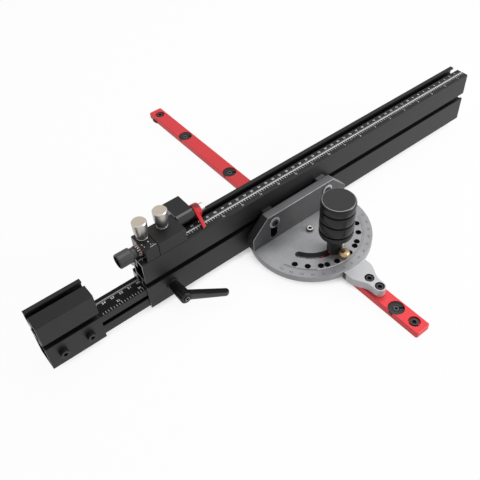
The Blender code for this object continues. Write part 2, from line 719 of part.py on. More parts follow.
def make_bracket():
    """An upright plate with sloping shoulders and two slots that let the fence be set in height."""
    half, top = BRACKET_HALF_WIDTH, BRACKET_TOP_HALF_WIDTH
    outline = rounded([(-half, 0, 0), (half, 0, 0), (half, BRACKET_SHOULDER, 0.001),
                       (top, BRACKET_HEIGHT, 0.002), (-top, BRACKET_HEIGHT, 0.002),
                       (-half, BRACKET_SHOULDER, 0.001)])
    place = (0, BRACKET_FRONT, PLATE_SEAT)
    bracket = add("fence_bracket", moved(extruded(outline, BRACKET_THICKNESS), "y", place),
                  "head_frame", "blasted_aluminium")
    bevel(bracket)
    slot_half = BRACKET_SLOT_WIDTH / 2
    slot_top = FRONT_SLOT_Z - PLATE_SEAT + slot_half
    cuts = []
    for side in (-1, 1):
        middle = side * BRACKET_SCREW_X
        slot = rounded(rectangle(middle - slot_half, middle + slot_half, slot_top - BRACKET_SLOT_LENGTH,
                                 slot_top, slot_half - MERGE), 6)
        start = (0, BRACKET_FRONT - GAP, PLATE_SEAT)
        cuts.append(moved(extruded(slot, BRACKET_THICKNESS + 2 * GAP), "y", start))
    for number in FOOT_SCREW_PLACES:
        depth = PLATE_BOTTOM + FOOT_SCREW_LENGTH + GAP
        hole = rod(FOOT_SCREW_RADIUS + GAP, PLATE_TOP, depth)
        cuts.append(moved(hole, "z", (number, foot_screw_y(), 0)))
    combine(bracket, cuts, "head_frame")


def slot_nut(name, body, x, front, height, lip, opening, reach):
    """A T-nut behind the lips of a slot in a front face, with a hole for its screw.

    front is the profile's face, height the slot's centre, reach how far it grips behind each lip.
    """
    neck = opening / 2 - GAP
    flange = opening / 2 + reach - GAP
    outline = [
        (-lip + GAP, -neck),
        (GAP, -neck),
        (GAP, -flange),
        (NUT_THICKNESS, -flange),
        (NUT_THICKNESS, flange),
        (GAP, flange),
        (GAP, neck),
        (-lip + GAP, neck),
    ]
    place = (x - NUT_LENGTH / 2, front + lip, height)
    nut = add(name, moved(extruded(outline, NUT_LENGTH), "x", place), body, "bright_steel")
    hole = moved(rod(SCREW_RADIUS + GAP, -lip - GAP, NUT_THICKNESS + GAP), "y", (x, front + lip, height))
    combine(nut, [hole], body)


def make_fence_fixings():
    for side, word in ((-1, "left"), (1, "right")):
        x = side * BRACKET_SCREW_X
        seat = BRACKET_FRONT - GAP - WASHER_THICKNESS
        washer(f"fence_washer_{word}", "head_frame", "y", (x, seat, FRONT_SLOT_Z), WASHER_RADIUS,
               SCREW_RADIUS + GAP, WASHER_THICKNESS, "bright_steel")
        length = FENCE_FRONT + WALL + NUT_THICKNESS - seat
        cap_screw(f"fence_screw_{word}", "head_frame", "y", (x, seat - GAP, FRONT_SLOT_Z), -1,
                  "black_steel", (SCREW_HEAD_RADIUS, SCREW_HEAD_HEIGHT), (SCREW_RADIUS, length))
        left, right = x - PAD_WIDTH / 2, x + PAD_WIDTH / 2
        outline = rounded(rectangle(left, right, 2 * GAP, BRACKET_HEIGHT, CHAMFER), 2)
        place = (0, BRACKET_BACK + GAP, PLATE_SEAT)
        pad = add(f"fence_pad_{word}", moved(extruded(outline, PAD_THICKNESS), "y", place),
                  "head_frame", "bright_steel")
        hole = moved(rod(SCREW_RADIUS + GAP, -GAP, PAD_THICKNESS + GAP), "y",
                     (x, BRACKET_BACK + GAP, FRONT_SLOT_Z))
        combine(pad, [hole], "head_frame")
        slot_nut(f"fence_t_nut_{word}", "head_frame", x, FENCE_FRONT, FRONT_SLOT_Z, WALL,
                 SLOT_OPENING, FRONT_LIP)


def front_slot(face, middle, opening, grip, depth, lip):
    """The notch of a T-slot in a face at u = face, walked upwards from below."""
    low, high = middle - opening / 2, middle + opening / 2
    return [
        (face, low, 0),
        (face + lip, low, 0),
        (face + lip, low - grip, 0),
        (face + lip + depth, low - grip, 0),
        (face + lip + depth, high + grip, 0),
        (face + lip, high + grip, 0),
        (face + lip, high, 0),
        (face, high, 0),
    ]


def fence_section():
    """The fence's outline in (y, z) from its bottom front corner, and its three closed chambers."""
    depth, height = FENCE_DEPTH, FENCE_HEIGHT
    front = front_slot(0, FRONT_SLOT_HEIGHT, SLOT_OPENING, FRONT_LIP, SLOT_DEPTH, WALL)
    slot_floor = height - WALL - TOP_SLOT_DEPTH
    rear_height = (WALL + CHAMBER_HEIGHT + slot_floor) / 2 + REAR_SLOT_OFFSET
    rear = front_slot(0, rear_height, SLOT_OPENING, SLOT_LIP, SLOT_DEPTH, WALL)
    rear = [(depth - u, v, r) for u, v, r in reversed(rear)]
    middle = depth - TOP_SLOT_FROM_BACK
    top = front_slot(0, middle, TOP_OPENING, TOP_LIP, TOP_SLOT_DEPTH, WALL)
    top = [(v, height - u, r) for u, v, r in top]
    outline = [(0, 0, FENCE_EDGE_RADIUS), *front, (0, height, FENCE_TOP_RADIUS), *top]
    outline += [(depth, height, CHAMFER), *rear, (depth, 0, CHAMFER)]
    lower = rectangle(WALL, depth - WALL, WALL, WALL + CHAMBER_HEIGHT, 0)
    pocket_back = WALL + SLOT_DEPTH
    rear_front = depth - pocket_back
    front_top = FRONT_SLOT_HEIGHT + SLOT_OPENING / 2 + FRONT_LIP
    pocket_front = middle - TOP_OPENING / 2 - TOP_LIP
    wall = WALL * 0.8
    middle_room = rectangle(pocket_back + wall, rear_front - wall, WALL + CHAMBER_HEIGHT + wall, front_top, 0)
    upper = [
        (WALL, front_top + wall, 0),
        (rear_front - wall, front_top + wall, 0),
        (rear_front - wall, slot_floor - wall, 0),
        (pocket_front - wall, slot_floor - wall, 0),
        (pocket_front - wall, height - WALL, 0),
        (WALL, height - WALL, 0),
    ]
    return rounded(outline, 3), [rounded(room) for room in (lower, middle_room, upper)]


def extension_section():
    """The extension's outline in (y, z) from its bottom front corner, and its closed chambers."""
    depth, height = EXTENSION_DEPTH, EXTENSION_HEIGHT
    slot = front_slot(0, EXTENSION_SLOT_HEIGHT, EXTENSION_SLOT_OPENING, SLOT_LIP, SLOT_DEPTH - WALL, WALL)
    outline = [(0, 0, CHAMFER), *slot, (0, height, CHAMFER), (depth, height, CHAMFER), (depth, 0, CHAMFER)]
    low = EXTENSION_SLOT_HEIGHT - EXTENSION_SLOT_OPENING / 2 - SLOT_LIP
    high = EXTENSION_SLOT_HEIGHT + EXTENSION_SLOT_OPENING / 2 + SLOT_LIP
    wall = WALL * 0.8
    rooms = [
        rectangle(WALL, depth - WALL, WALL, low - wall),
        rectangle(SLOT_DEPTH + wall, depth - WALL, low, high),
        rectangle(WALL, depth - WALL, high + wall, height - wall),
    ]
    return rounded(outline, 2), [rounded(room) for room in rooms]


def drilled(piece, body, places, front, height, depth):
    """Holes through a front wall, for the screws at these places along X."""
    holes = [rod(SCREW_RADIUS + GAP, -GAP, depth + GAP) for place in places]
    cuts = [moved(hole, "y", (x, front, height)) for hole, x in zip(holes, places)]
    combine(piece, cuts, body)


def make_fence():
    outline, rooms = fence_section()
    shape = moved(extruded(outline, FENCE_LENGTH, rooms), "x", (FENCE_LEFT, FENCE_FRONT, FENCE_BOTTOM))
    fence = add("fence", shape, "fence_frame", "black_anodised")
    drilled(fence, "fence_frame", [LEVER_X], FENCE_FRONT, EXTENSION_SLOT_Z, WALL)


def make_extension():
    outline, rooms = extension_section()
    place = (EXTENSION_LEFT, EXTENSION_FRONT, EXTENSION_BOTTOM)
    add("extension", moved(extruded(outline, EXTENSION_LENGTH, rooms), "x", place),
        "extension_frame", "black_anodised")
    outline, rooms = fence_section()
    shape = moved(extruded(outline, BLOCK_LENGTH, rooms), "x", (BLOCK_LEFT, FENCE_FRONT, FENCE_BOTTOM))
    block = add("end_block", shape, "extension_frame", "black_anodised")
    places = [BLOCK_MIDDLE + side * BLOCK_SCREW_SPACING / 2 for side in (-1, 1)]
    drilled(block, "extension_frame", places, FENCE_FRONT, EXTENSION_SLOT_Z, WALL)
    for word, x in zip(("left", "right"), places):
        length = EXTENSION_FRONT - FENCE_FRONT + WALL + NUT_THICKNESS
        cap_screw(f"block_screw_{word}", "extension_frame", "y", (x, FENCE_FRONT - GAP, EXTENSION_SLOT_Z), -1,
                  "black_steel", (SCREW_HEAD_RADIUS, SCREW_HEAD_HEIGHT), (SCREW_RADIUS, length))
        slot_nut(f"block_t_nut_{word}", "extension_frame", x, EXTENSION_FRONT, EXTENSION_SLOT_Z, WALL,
                 EXTENSION_SLOT_OPENING, SLOT_LIP)


def lever_rings():
    """Rings of the arm from inside the hub to its round tip, square to its own direction."""
    reach = Vector(LEVER_REACH)
    along = reach.normalized()
    across = along.cross(Vector((0, 1, 0))).normalized()
    outward = across.cross(along)
    root = Vector((LEVER_X, FENCE_FRONT - LEVER_HUB_LENGTH + LEVER_ROOT_DEPTH, EXTENSION_SLOT_Z))
    rings = []
    for share, scale in ((0.03, 1), (0.5, 1), (0.93, 1), (0.98, 0.82), (1.0, 0.5)):
        tall = LEVER_ROOT_HALF[0] + (LEVER_TIP_HALF[0] - LEVER_ROOT_HALF[0]) * share
        wide = LEVER_ROOT_HALF[1] + (LEVER_TIP_HALF[1] - LEVER_ROOT_HALF[1]) * share
        middle = root + reach * share
        outline = rounded(rectangle(-tall * scale, tall * scale, -wide * scale, wide * scale,
                                    wide * scale * 0.6), 3)
        rings.append([middle + across * u + outward * v for u, v in outline])
    return rings


def make_lever():
    """The clamp lever of the extension: a hub with its arm, on a screw into a T-nut."""
    wash = FENCE_FRONT - GAP - WASHER_THICKNESS
    washer("lever_washer", "fence_frame", "y", (LEVER_X, wash, EXTENSION_SLOT_Z), LEVER_HUB_RADIUS,
           SCREW_RADIUS + GAP, WASHER_THICKNESS, "black_steel")
    length = LEVER_HUB_LENGTH
    base = LEVER_HUB_RADIUS * 0.86
    recess = LEVER_SCREW_RADIUS + GAP
    hub = [
        (SCREW_RADIUS + GAP, 0),
        (base, 0),
        (base + CHAMFER, length * 0.35),
        (LEVER_HUB_RADIUS, length * 0.5),
        (LEVER_HUB_RADIUS, length - 2 * CHAMFER),
        (LEVER_HUB_RADIUS - 2 * CHAMFER, length),
        (recess, length),
        (recess, length - SCREW_HEAD_HEIGHT + CHAMFER),
        (SCREW_RADIUS + GAP, length - SCREW_HEAD_HEIGHT + CHAMFER),
    ]
    hub_shape = turned(hub, 24, ring=True)
    seat = wash - GAP
    bmesh.ops.scale(hub_shape, vec=(1, 1, -1), verts=hub_shape.verts)
    moved(hub_shape, "y", (LEVER_X, seat, EXTENSION_SLOT_Z))
    lever = add("clamp_lever", lofted(lever_rings()), "lever_frame", "black_plastic")
    core = rod(SCREW_RADIUS + GAP, -length, 0, 24)
    keep_out = [moved(core, "y", (LEVER_X, seat, EXTENSION_SLOT_Z))]
    head_room = rod(recess, -length - GAP, -length + SCREW_HEAD_HEIGHT - CHAMFER, 24)
    combine(lever, [hub_shape], "lever_frame", "UNION")
    combine(lever, keep_out, "lever_frame")
    combine(lever, [moved(head_room, "y", (LEVER_X, seat, EXTENSION_SLOT_Z))], "lever_frame")
    head_seat = seat - length + SCREW_HEAD_HEIGHT - CHAMFER - GAP
    shank = EXTENSION_FRONT + WALL + NUT_THICKNESS - head_seat
    cap_screw("lever_screw", "fence_frame", "y", (LEVER_X, head_seat, EXTENSION_SLOT_Z), -1, "bright_steel",
              (LEVER_SCREW_RADIUS, SCREW_HEAD_HEIGHT), (SCREW_RADIUS, shank), HEX_RADIUS * 0.85)
    slot_nut("lever_t_nut", "fence_frame", LEVER_X, EXTENSION_FRONT, EXTENSION_SLOT_Z, WALL,
             EXTENSION_SLOT_OPENING, SLOT_LIP)


def stop_block(name, body, left, length):
    shape = rounded(rectangle(FENCE_FRONT, FENCE_BACK, STOP_BOTTOM, STOP_TOP))
    block = add(name, moved(extruded(shape, length), "x", (left, 0, 0)), body, "black_anodised")
    bevel(block)
    return block


def t_bolt(name, body, x):
    """A bolt whose flat head runs in the fence's top slot."""
    lips = FENCE_TOP - WALL - GAP
    half = TOP_OPENING / 2 + TOP_LIP - GAP
    head = extruded(rounded(rectangle(-half, half, -half, half, CHAMFER), 2), T_BOLT_HEAD_HEIGHT)
    bolt = add(name, moved(head, "z", (x, TOP_SLOT_Y, lips - T_BOLT_HEAD_HEIGHT)), body, "bright_steel")
    stud = rod(T_BOLT_RADIUS, lips - T_BOLT_HEAD_HEIGHT / 2, STOP_TOP + THUMB_HEIGHT * 0.8, 20)
    combine(bolt, [moved(stud, "z", (x, TOP_SLOT_Y, 0))], body, "UNION")


def thumb_nut(name, body, x):
    bore = T_BOLT_RADIUS + GAP
    bottom = STOP_TOP + WASHER_THICKNESS + 2 * GAP
    height = THUMB_HEIGHT
    radius = THUMB_RADIUS
    depth = height * 0.8
    profile = [
        (0, depth),
        (bore, depth),
        (bore, 0),
        (radius * 0.78, 0),
        (radius * 0.85, height * 0.10),
        (radius * 0.92, height * 0.28),
        (radius * 0.97, height * 0.55),
        (radius, height * 0.80),
        (radius, height - CHAMFER),
        (radius - CHAMFER, height),
        (0, height),
    ]
    add(name, moved(turned(profile, 20), "z", (x, TOP_SLOT_Y, bottom)), body, "bright_steel")


def make_adjuster():
    block = stop_block("adjuster_block", "adjuster_frame", ADJUSTER_LEFT, ADJUSTER_LENGTH)
    stud_hole = rod(T_BOLT_RADIUS + GAP, STOP_BOTTOM - GAP, STOP_TOP + GAP)
    lead_hole = rod(LEAD_RADIUS + GAP, -GAP, ADJUSTER_LENGTH + GAP)
    cuts = [
        moved(stud_hole, "z", (ADJUSTER_STUD_X, TOP_SLOT_Y, 0)),
        moved(lead_hole, "x", (ADJUSTER_LEFT, LEAD_Y, LEAD_Z)),
    ]
    combine(block, cuts, "adjuster_frame")
    t_bolt("adjuster_t_bolt", "adjuster_frame", ADJUSTER_STUD_X)
    washer("adjuster_washer", "adjuster_frame", "z", (ADJUSTER_STUD_X, TOP_SLOT_Y, STOP_TOP + GAP),
           THUMB_WASHER_RADIUS, T_BOLT_RADIUS + GAP, WASHER_THICKNESS, "bright_steel")
    thumb_nut("adjuster_thumb_nut", "adjuster_nut_frame", ADJUSTER_STUD_X)


def make_knob():
    """The fine adjuster: knob, graduated collar, friction ring and lead screw on one axis."""
    bore = LEAD_RADIUS + GAP
    inside = KNOB_LENGTH * 0.2
    end = KNOB_LENGTH + KNOB_NECK_LENGTH
    profile = [
        (0, inside),
        (bore, inside),
        (bore, end),
        (KNOB_NECK_RADIUS, end),
        (KNOB_NECK_RADIUS, KNOB_LENGTH),
        (KNOB_RADIUS - CHAMFER, KNOB_LENGTH),
        (KNOB_RADIUS, KNOB_LENGTH - CHAMFER),
        (KNOB_RADIUS, CHAMFER),
        (KNOB_RADIUS - CHAMFER, 0),
        (0, 0),
    ]
    axis_place = (KNOB_LEFT, LEAD_Y, LEAD_Z)
    add("adjuster_knob", moved(turned(profile, 20), "x", axis_place), "knob_frame", "black_plastic")
    washer("graduated_collar", "knob_frame", "x", (COLLAR_LEFT, LEAD_Y, LEAD_Z), COLLAR_RADIUS, bore,
           COLLAR_LENGTH, "black_anodised")
    washer("friction_ring", "knob_frame", "x", (RING_LEFT, LEAD_Y, LEAD_Z), RING_RADIUS, bore,
           RING_THICKNESS, "copper")
    start = KNOB_LEFT + inside + GAP
    lead = rod(LEAD_RADIUS, 0, CARRIAGE_LEFT + LEAD_INSIDE - GAP - start, 20)
    add("lead_screw", moved(lead, "x", (start, LEAD_Y, LEAD_Z)), "knob_frame", "bright_steel")


def make_carriage():
    block = stop_block("carriage_block", "carriage_frame", CARRIAGE_LEFT, CARRIAGE_LENGTH)
    stud_hole = rod(T_BOLT_RADIUS + GAP, STOP_BOTTOM - GAP, STOP_TOP + GAP)
    lead_hole = rod(LEAD_RADIUS + GAP, -GAP, LEAD_INSIDE)
    rod_hole = rod(ROD_RADIUS + GAP, -ROD_SEAT, GAP)
    cuts = [
        moved(stud_hole, "z", (CARRIAGE_STUD_X, TOP_SLOT_Y, 0)),
        moved(lead_hole, "x", (CARRIAGE_LEFT, LEAD_Y, LEAD_Z)),
        moved(rod_hole, "x", (CARRIAGE_RIGHT, ROD_Y, ROD_Z)),
    ]
    combine(block, cuts, "carriage_frame")
    t_bolt("carriage_t_bolt", "carriage_frame", CARRIAGE_STUD_X)
    washer("carriage_washer", "carriage_frame", "z", (CARRIAGE_STUD_X, TOP_SLOT_Y, STOP_TOP + GAP),
           THUMB_WASHER_RADIUS, T_BOLT_RADIUS + GAP, WASHER_THICKNESS, "bright_steel")
    thumb_nut("carriage_thumb_nut", "carriage_nut_frame", CARRIAGE_STUD_X)
    start = CARRIAGE_RIGHT - ROD_SEAT + GAP
    length = CURSOR_LEFT + CURSOR_WIDTH + GAP - start
    profile = [
        (0, 0),
        (ROD_RADIUS, 0),
        (ROD_RADIUS, length),
        (ROD_HEAD_RADIUS, length),
        (ROD_HEAD_RADIUS, length + ROD_HEAD_LENGTH - CHAMFER),
        (ROD_HEAD_RADIUS - CHAMFER, length + ROD_HEAD_LENGTH),
        (0, length + ROD_HEAD_LENGTH),
    ]
    add("stop_rod", moved(turned(profile, 20), "x", (start, ROD_Y, ROD_Z)), "carriage_frame", "bright_steel")


def make_flip_arm():
    """The stop's arm: a barrel on the rod, a flat back and a leg down behind the fence."""
    radius = ARM_BARREL_RADIUS
    front = FENCE_BACK + ARM_FENCE_CLEARANCE
    barrel = arc((ROD_Y, ROD_Z), radius, 90, 270, 16)
    under = ROD_Z - radius
    leg = rounded([(front, under, 0), (front, ARM_BOTTOM, 0.001), (ARM_BACK, ARM_BOTTOM, 0.003),
                   (ARM_BACK, ROD_Z + radius, 0.0015)])
    arm = add("flip_arm", moved(extruded(barrel + leg, ARM_WIDTH), "x", (ARM_LEFT, 0, 0)),
              "arm_frame", "black_anodised")
    bevel(arm)
    hole = moved(rod(ROD_RADIUS + GAP, -GAP, ARM_WIDTH + GAP, 20), "x", (ARM_LEFT, ROD_Y, ROD_Z))
    combine(arm, [hole], "arm_frame")


def make_cursor():
    """The red cursor: a stepped hub clamped on the rod, with a straight hand down to the scale."""
    level = STOP_BOTTOM + CURSOR_LIFT
    hub = Vector((ROD_Y, ROD_Z))
    along = (Vector((CURSOR_TIP_Y, level)) - hub).normalized()
    side = Vector((-along.y, along.x)) * CURSOR_ARM_WIDTH / 2
    angle = math.degrees(math.atan2(along.y, along.x))
    spread = math.degrees(math.asin(CURSOR_ARM_WIDTH / 2 / CURSOR_RADIUS))
    outline = arc(hub, CURSOR_RADIUS, angle + spread, angle + 360 - spread, 28)
    for edge in (hub - side, hub + side):
        outline.append(tuple(edge + along * (level - edge.y) / along.y))
    cursor = add("cursor", moved(extruded(outline, CURSOR_HAND_THICKNESS), "x", (CURSOR_LEFT, 0, 0)),
                 "carriage_frame", "red_plastic")
    sleeve = rod(CURSOR_RADIUS - CURSOR_STEP, CURSOR_HAND_THICKNESS / 2, CURSOR_WIDTH, 28)
    combine(cursor, [moved(sleeve, "x", (CURSOR_LEFT, ROD_Y, ROD_Z))], "carriage_frame", "UNION")
    hole = moved(rod(ROD_RADIUS + GAP, -GAP, CURSOR_WIDTH + GAP, 20), "x", (CURSOR_LEFT, ROD_Y, ROD_Z))
    combine(cursor, [hole], "carriage_frame")


clear_scene()
MATERIALS = {name: make_material(name) for name in LOOKS}
PLACES = make_frames()
make_bar()
make_bar_fittings()
make_pointer()
make_plate()
make_foot_screws()
make_index_pin()
make_handle()
make_bracket()
make_fence_fixings()
make_fence()
make_extension()
make_lever()
make_adjuster()
make_knob()
make_carriage()
make_flip_arm()
make_cursor()
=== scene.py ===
# %% [markdown]
# # A miter gauge, dressed for its portrait
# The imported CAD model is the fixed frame: every piece made here sits where a solid of it sits,
# in metres, and rides on the body that carries that solid. Round pieces are turned again from
# finer profiles, flat ones get rounded edges that catch light, and the scales get their marks.

import json
import math

import bmesh
import bpy
import numpy as np
from mathutils import Matrix, Vector
from mathutils.geometry import tessellate_polygon


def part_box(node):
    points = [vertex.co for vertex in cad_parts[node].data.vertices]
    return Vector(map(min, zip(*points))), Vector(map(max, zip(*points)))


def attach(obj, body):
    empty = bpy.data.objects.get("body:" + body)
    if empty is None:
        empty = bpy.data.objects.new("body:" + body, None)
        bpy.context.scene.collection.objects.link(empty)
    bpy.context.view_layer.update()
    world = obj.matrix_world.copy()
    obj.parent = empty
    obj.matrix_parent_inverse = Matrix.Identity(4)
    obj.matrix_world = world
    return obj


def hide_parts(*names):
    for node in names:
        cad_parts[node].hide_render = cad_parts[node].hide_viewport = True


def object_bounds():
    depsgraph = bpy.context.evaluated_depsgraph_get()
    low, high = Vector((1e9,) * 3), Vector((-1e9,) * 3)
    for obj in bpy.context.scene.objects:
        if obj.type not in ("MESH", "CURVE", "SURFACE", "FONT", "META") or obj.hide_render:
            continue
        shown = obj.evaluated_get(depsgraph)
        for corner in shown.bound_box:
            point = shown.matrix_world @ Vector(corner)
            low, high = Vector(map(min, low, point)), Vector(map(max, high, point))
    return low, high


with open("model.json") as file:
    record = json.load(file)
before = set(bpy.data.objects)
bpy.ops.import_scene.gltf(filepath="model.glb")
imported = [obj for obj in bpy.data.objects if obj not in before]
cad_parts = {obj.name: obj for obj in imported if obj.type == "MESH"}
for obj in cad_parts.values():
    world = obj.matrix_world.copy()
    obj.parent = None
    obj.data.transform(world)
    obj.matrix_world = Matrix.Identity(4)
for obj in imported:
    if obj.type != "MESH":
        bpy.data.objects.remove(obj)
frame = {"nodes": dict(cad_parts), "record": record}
cad_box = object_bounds()
MM = 0.001

# %% [markdown]
# The camera looks down on the gauge from the front left. Its place, its directions and its
# lens come from matching the corners of the fence and the bar, so nothing here is fitted later.

# %% Camera
CAMERA_PLACE = Vector((-0.3521, -0.3556, 0.5439))
CAMERA_FORWARD = Vector((0.3933, 0.5531, -0.7344)).normalized()
CAMERA_RIGHT = Vector((0.7836, -0.6195, -0.0469)).normalized()
LENS = 47.05


def linked(name, data):
    """A new object of this data, placed in the scene."""
    thing = bpy.data.objects.new(name, data)
    bpy.context.scene.collection.objects.link(thing)
    return thing


def make_camera():
    """A camera whose columns are right, up and back, up being right crossed with forward."""
    data = bpy.data.cameras.new("camera")
    data.lens = LENS
    data.sensor_width = 36
    data.clip_start = 0.01
    up = CAMERA_RIGHT.cross(CAMERA_FORWARD).normalized()
    turn = Matrix((CAMERA_RIGHT, up, -CAMERA_FORWARD)).transposed()
    camera = linked("camera", data)
    camera.matrix_world = Matrix.Translation(CAMERA_PLACE) @ turn.to_4x4()
    bpy.context.scene.camera = camera
    return camera


camera = make_camera()
print("camera at", [round(v, 3) for v in camera.matrix_world.translation])

# %% [markdown]
# A product portrait on white: one wide soft light overhead, a second one low at the front
# right that lifts the dark front faces, and an even pale world. The floor is white to the
# camera but keeps a breath of the contact shadow.

# %% Light and floor
LIGHTS = (
    ("overhead", (0.25, 0.15, 1.35), (0.0, 0.06, 0.0), 1.2, 9.0),
    ("front", (0.95, -1.05, 0.68), (0.10, 0.04, 0.03), 0.8, 16.0),
)
FLOOR_RADIUS, FLOOR_SIDES = 4, 64
FLOOR_WHITE = 0.86
SHADOW_SHARE = 0.055
SHADOW_REACH = 60 * MM
WORLD_COLOUR = (0.94, 0.97, 1.0, 1)
WORLD_FILL = 0.32
DEEP_SHADE = (0.04, 0.30)
WHITE = (1, 1, 1, 1)


def make_light(name, place, aim, size, power):
    """A round area light whose -Z axis points from its place to its aim."""
    data = bpy.data.lights.new(name, "AREA")
    data.shape = "DISK"
    data.size = size
    data.energy = power
    light = linked(name, data)
    light.location = place
    light.rotation_euler = (Vector(aim) - Vector(place)).to_track_quat("-Z", "Y").to_euler()


def material(name):
    """A new material, its node tree and its Principled surface."""
    look = bpy.data.materials.new(name)
    look.use_nodes = True
    return look, look.node_tree, look.node_tree.nodes["Principled BSDF"]


def added(tree, kind, **values):
    """A new shader node; each value is put on the input of that name, a space for each _."""
    node = tree.nodes.new("ShaderNode" + kind)
    for name, value in values.items():
        node.inputs[name.replace("_", " ")].default_value = value
    return node


def wire(tree, *pairs):
    """Links each (from socket, to socket) pair."""
    for start, end in pairs:
        tree.links.new(start, end)


def maths(tree, operation, *inputs):
    """A Math node's output; each input is a number or another node's output."""
    node = added(tree, "Math")
    node.operation = operation
    for socket, value in zip(node.inputs, inputs):
        if isinstance(value, (int, float)):
            socket.default_value = value
        else:
            tree.links.new(value, socket)
    return node.outputs[0]


def seen_rays(tree):
    """1 for camera, glossy and transmission rays, 0 for the rays that light the object."""
    path = added(tree, "LightPath").outputs
    clear = maths(tree, "MAXIMUM", path["Is Camera Ray"], path["Is Transmission Ray"])
    return maths(tree, "MAXIMUM", clear, path["Is Glossy Ray"])


def make_world():
    """White where it is seen, dimmer where it lights."""
    world = bpy.data.worlds.new("studio")
    world.use_nodes = True
    tree = world.node_tree
    tree.nodes.clear()
    fill = added(tree, "Background", Color=WORLD_COLOUR, Strength=WORLD_FILL)
    seen = added(tree, "Background", Color=WHITE)
    mix = added(tree, "MixShader")
    out = added(tree, "OutputWorld")
    wire(tree, (seen_rays(tree), mix.inputs[0]), (fill.outputs[0], mix.inputs[1]),
         (seen.outputs[0], mix.inputs[2]), (mix.outputs[0], out.inputs["Surface"]))
    bpy.context.scene.world = world


def make_floor():
    """A round white floor. It glows white where it is seen, but keeps a share of its shadow,
    and more of it where less than 0.30 of the sky is open within SHADOW_REACH, as it is under
    the plate."""
    turn = np.linspace(0, 2 * math.pi, FLOOR_SIDES, endpoint=False)
    level = cad_box[0].z - 0.2 * MM
    points = np.column_stack([FLOOR_RADIUS * np.cos(turn), FLOOR_RADIUS * np.sin(turn),
                              np.full(FLOOR_SIDES, level)])
    mesh = bpy.data.meshes.new("floor")
    mesh.from_pydata(points.tolist(), [], [list(range(FLOOR_SIDES))])
    floor = linked("floor", mesh)
    look, tree, surface = material("floor_white")
    surface.inputs["Base Color"].default_value = (FLOOR_WHITE, FLOOR_WHITE, FLOOR_WHITE, 1)
    surface.inputs["Roughness"].default_value = 0.9
    glow = added(tree, "Emission")
    mix = added(tree, "MixShader")
    sky = added(tree, "AmbientOcclusion", Distance=SHADOW_REACH)
    sky.samples = 8
    open_sky = added(tree, "MapRange", From_Min=DEEP_SHADE[0], From_Max=DEEP_SHADE[1])
    share = maths(tree, "MULTIPLY", seen_rays(tree), 1 - SHADOW_SHARE)
    share = maths(tree, "MULTIPLY", share, open_sky.outputs[0])
    wire(tree, (sky.outputs["AO"], open_sky.inputs["Value"]), (share, mix.inputs[0]),
         (surface.outputs[0], mix.inputs[1]), (glow.outputs[0], mix.inputs[2]),
         (mix.outputs[0], tree.nodes["Material Output"].inputs["Surface"]))
    mesh.materials.append(look)


for light in LIGHTS:
    make_light(*light)
make_world()
make_floor()
bpy.context.scene.view_settings.view_transform = "Standard"
print("lights:", len(LIGHTS))

# %% [markdown]
# Finishes. Anodised aluminium keeps the faint lines of its extrusion under a satin film;
# blasted aluminium is an even grey grain; plated steel is bright with fine turning marks;
# moulded plastic has a soft orange peel. Each is a noise that is stretched along the piece
# and drives colour, roughness and a very small bump together.

# %% Finishes
FINE_SHARE = 0.55


def finish(name, colour, tint, metallic, rough, grain, bump, blotch=30.0, specular=0.5,
           rings=None):
    """Principled finish: base colour runs from colour to tint by a broad noise plus a fine
    one, roughness runs between the two values of rough by the fine one, and the bump is the
    fine one too. grain is the fine noise's number of waves in a metre along X, Y and Z, blotch
    the broad one's. With rings = (x, y) the fine noise is read at the distance from that
    upright axis instead."""
    look, tree, surface = material(name)
    surface.inputs["Metallic"].default_value = metallic
    surface.inputs["Specular IOR Level"].default_value = specular
    place = added(tree, "TexCoord")
    scale = added(tree, "Mapping", Scale=grain)
    fine = added(tree, "TexNoise", Scale=1.0, Detail=3.0)
    broad = added(tree, "TexNoise", Scale=blotch, Detail=2.0)
    start = place.outputs["Object"]
    if rings:
        centred = added(tree, "Mapping", Location=(-rings[0], -rings[1], 0), Scale=(1, 1, 0))
        reach = added(tree, "VectorMath")
        reach.operation = "LENGTH"
        wire(tree, (start, centred.inputs["Vector"]), (centred.outputs[0], reach.inputs[0]))
        start = reach.outputs["Value"]
    blend = maths(tree, "MULTIPLY_ADD", fine.outputs["Fac"], FINE_SHARE,
                  maths(tree, "MULTIPLY", broad.outputs["Fac"], 1 - FINE_SHARE))
    mix = added(tree, "Mix")
    mix.data_type = "RGBA"
    mix.inputs["A"].default_value = (*colour, 1)
    mix.inputs["B"].default_value = (*tint, 1)
    spread = added(tree, "MapRange", From_Min=0.3, From_Max=0.7, To_Min=rough[0], To_Max=rough[1])
    relief = added(tree, "Bump", Strength=bump, Distance=0.1 * MM)
    wire(tree, (start, scale.inputs["Vector"]), (scale.outputs[0], fine.inputs["Vector"]),
         (place.outputs["Object"], broad.inputs["Vector"]), (blend, mix.inputs["Factor"]),
         (mix.outputs["Result"], surface.inputs["Base Color"]),
         (fine.outputs["Fac"], spread.inputs["Value"]),
         (spread.outputs[0], surface.inputs["Roughness"]),
         (fine.outputs["Fac"], relief.inputs["Height"]),
         (relief.outputs[0], surface.inputs["Normal"]))
    return look


def grey(*values):
    """Greys as colours, each with three hundredths more blue."""
    return [(v, v, v * 1.03) for v in values]


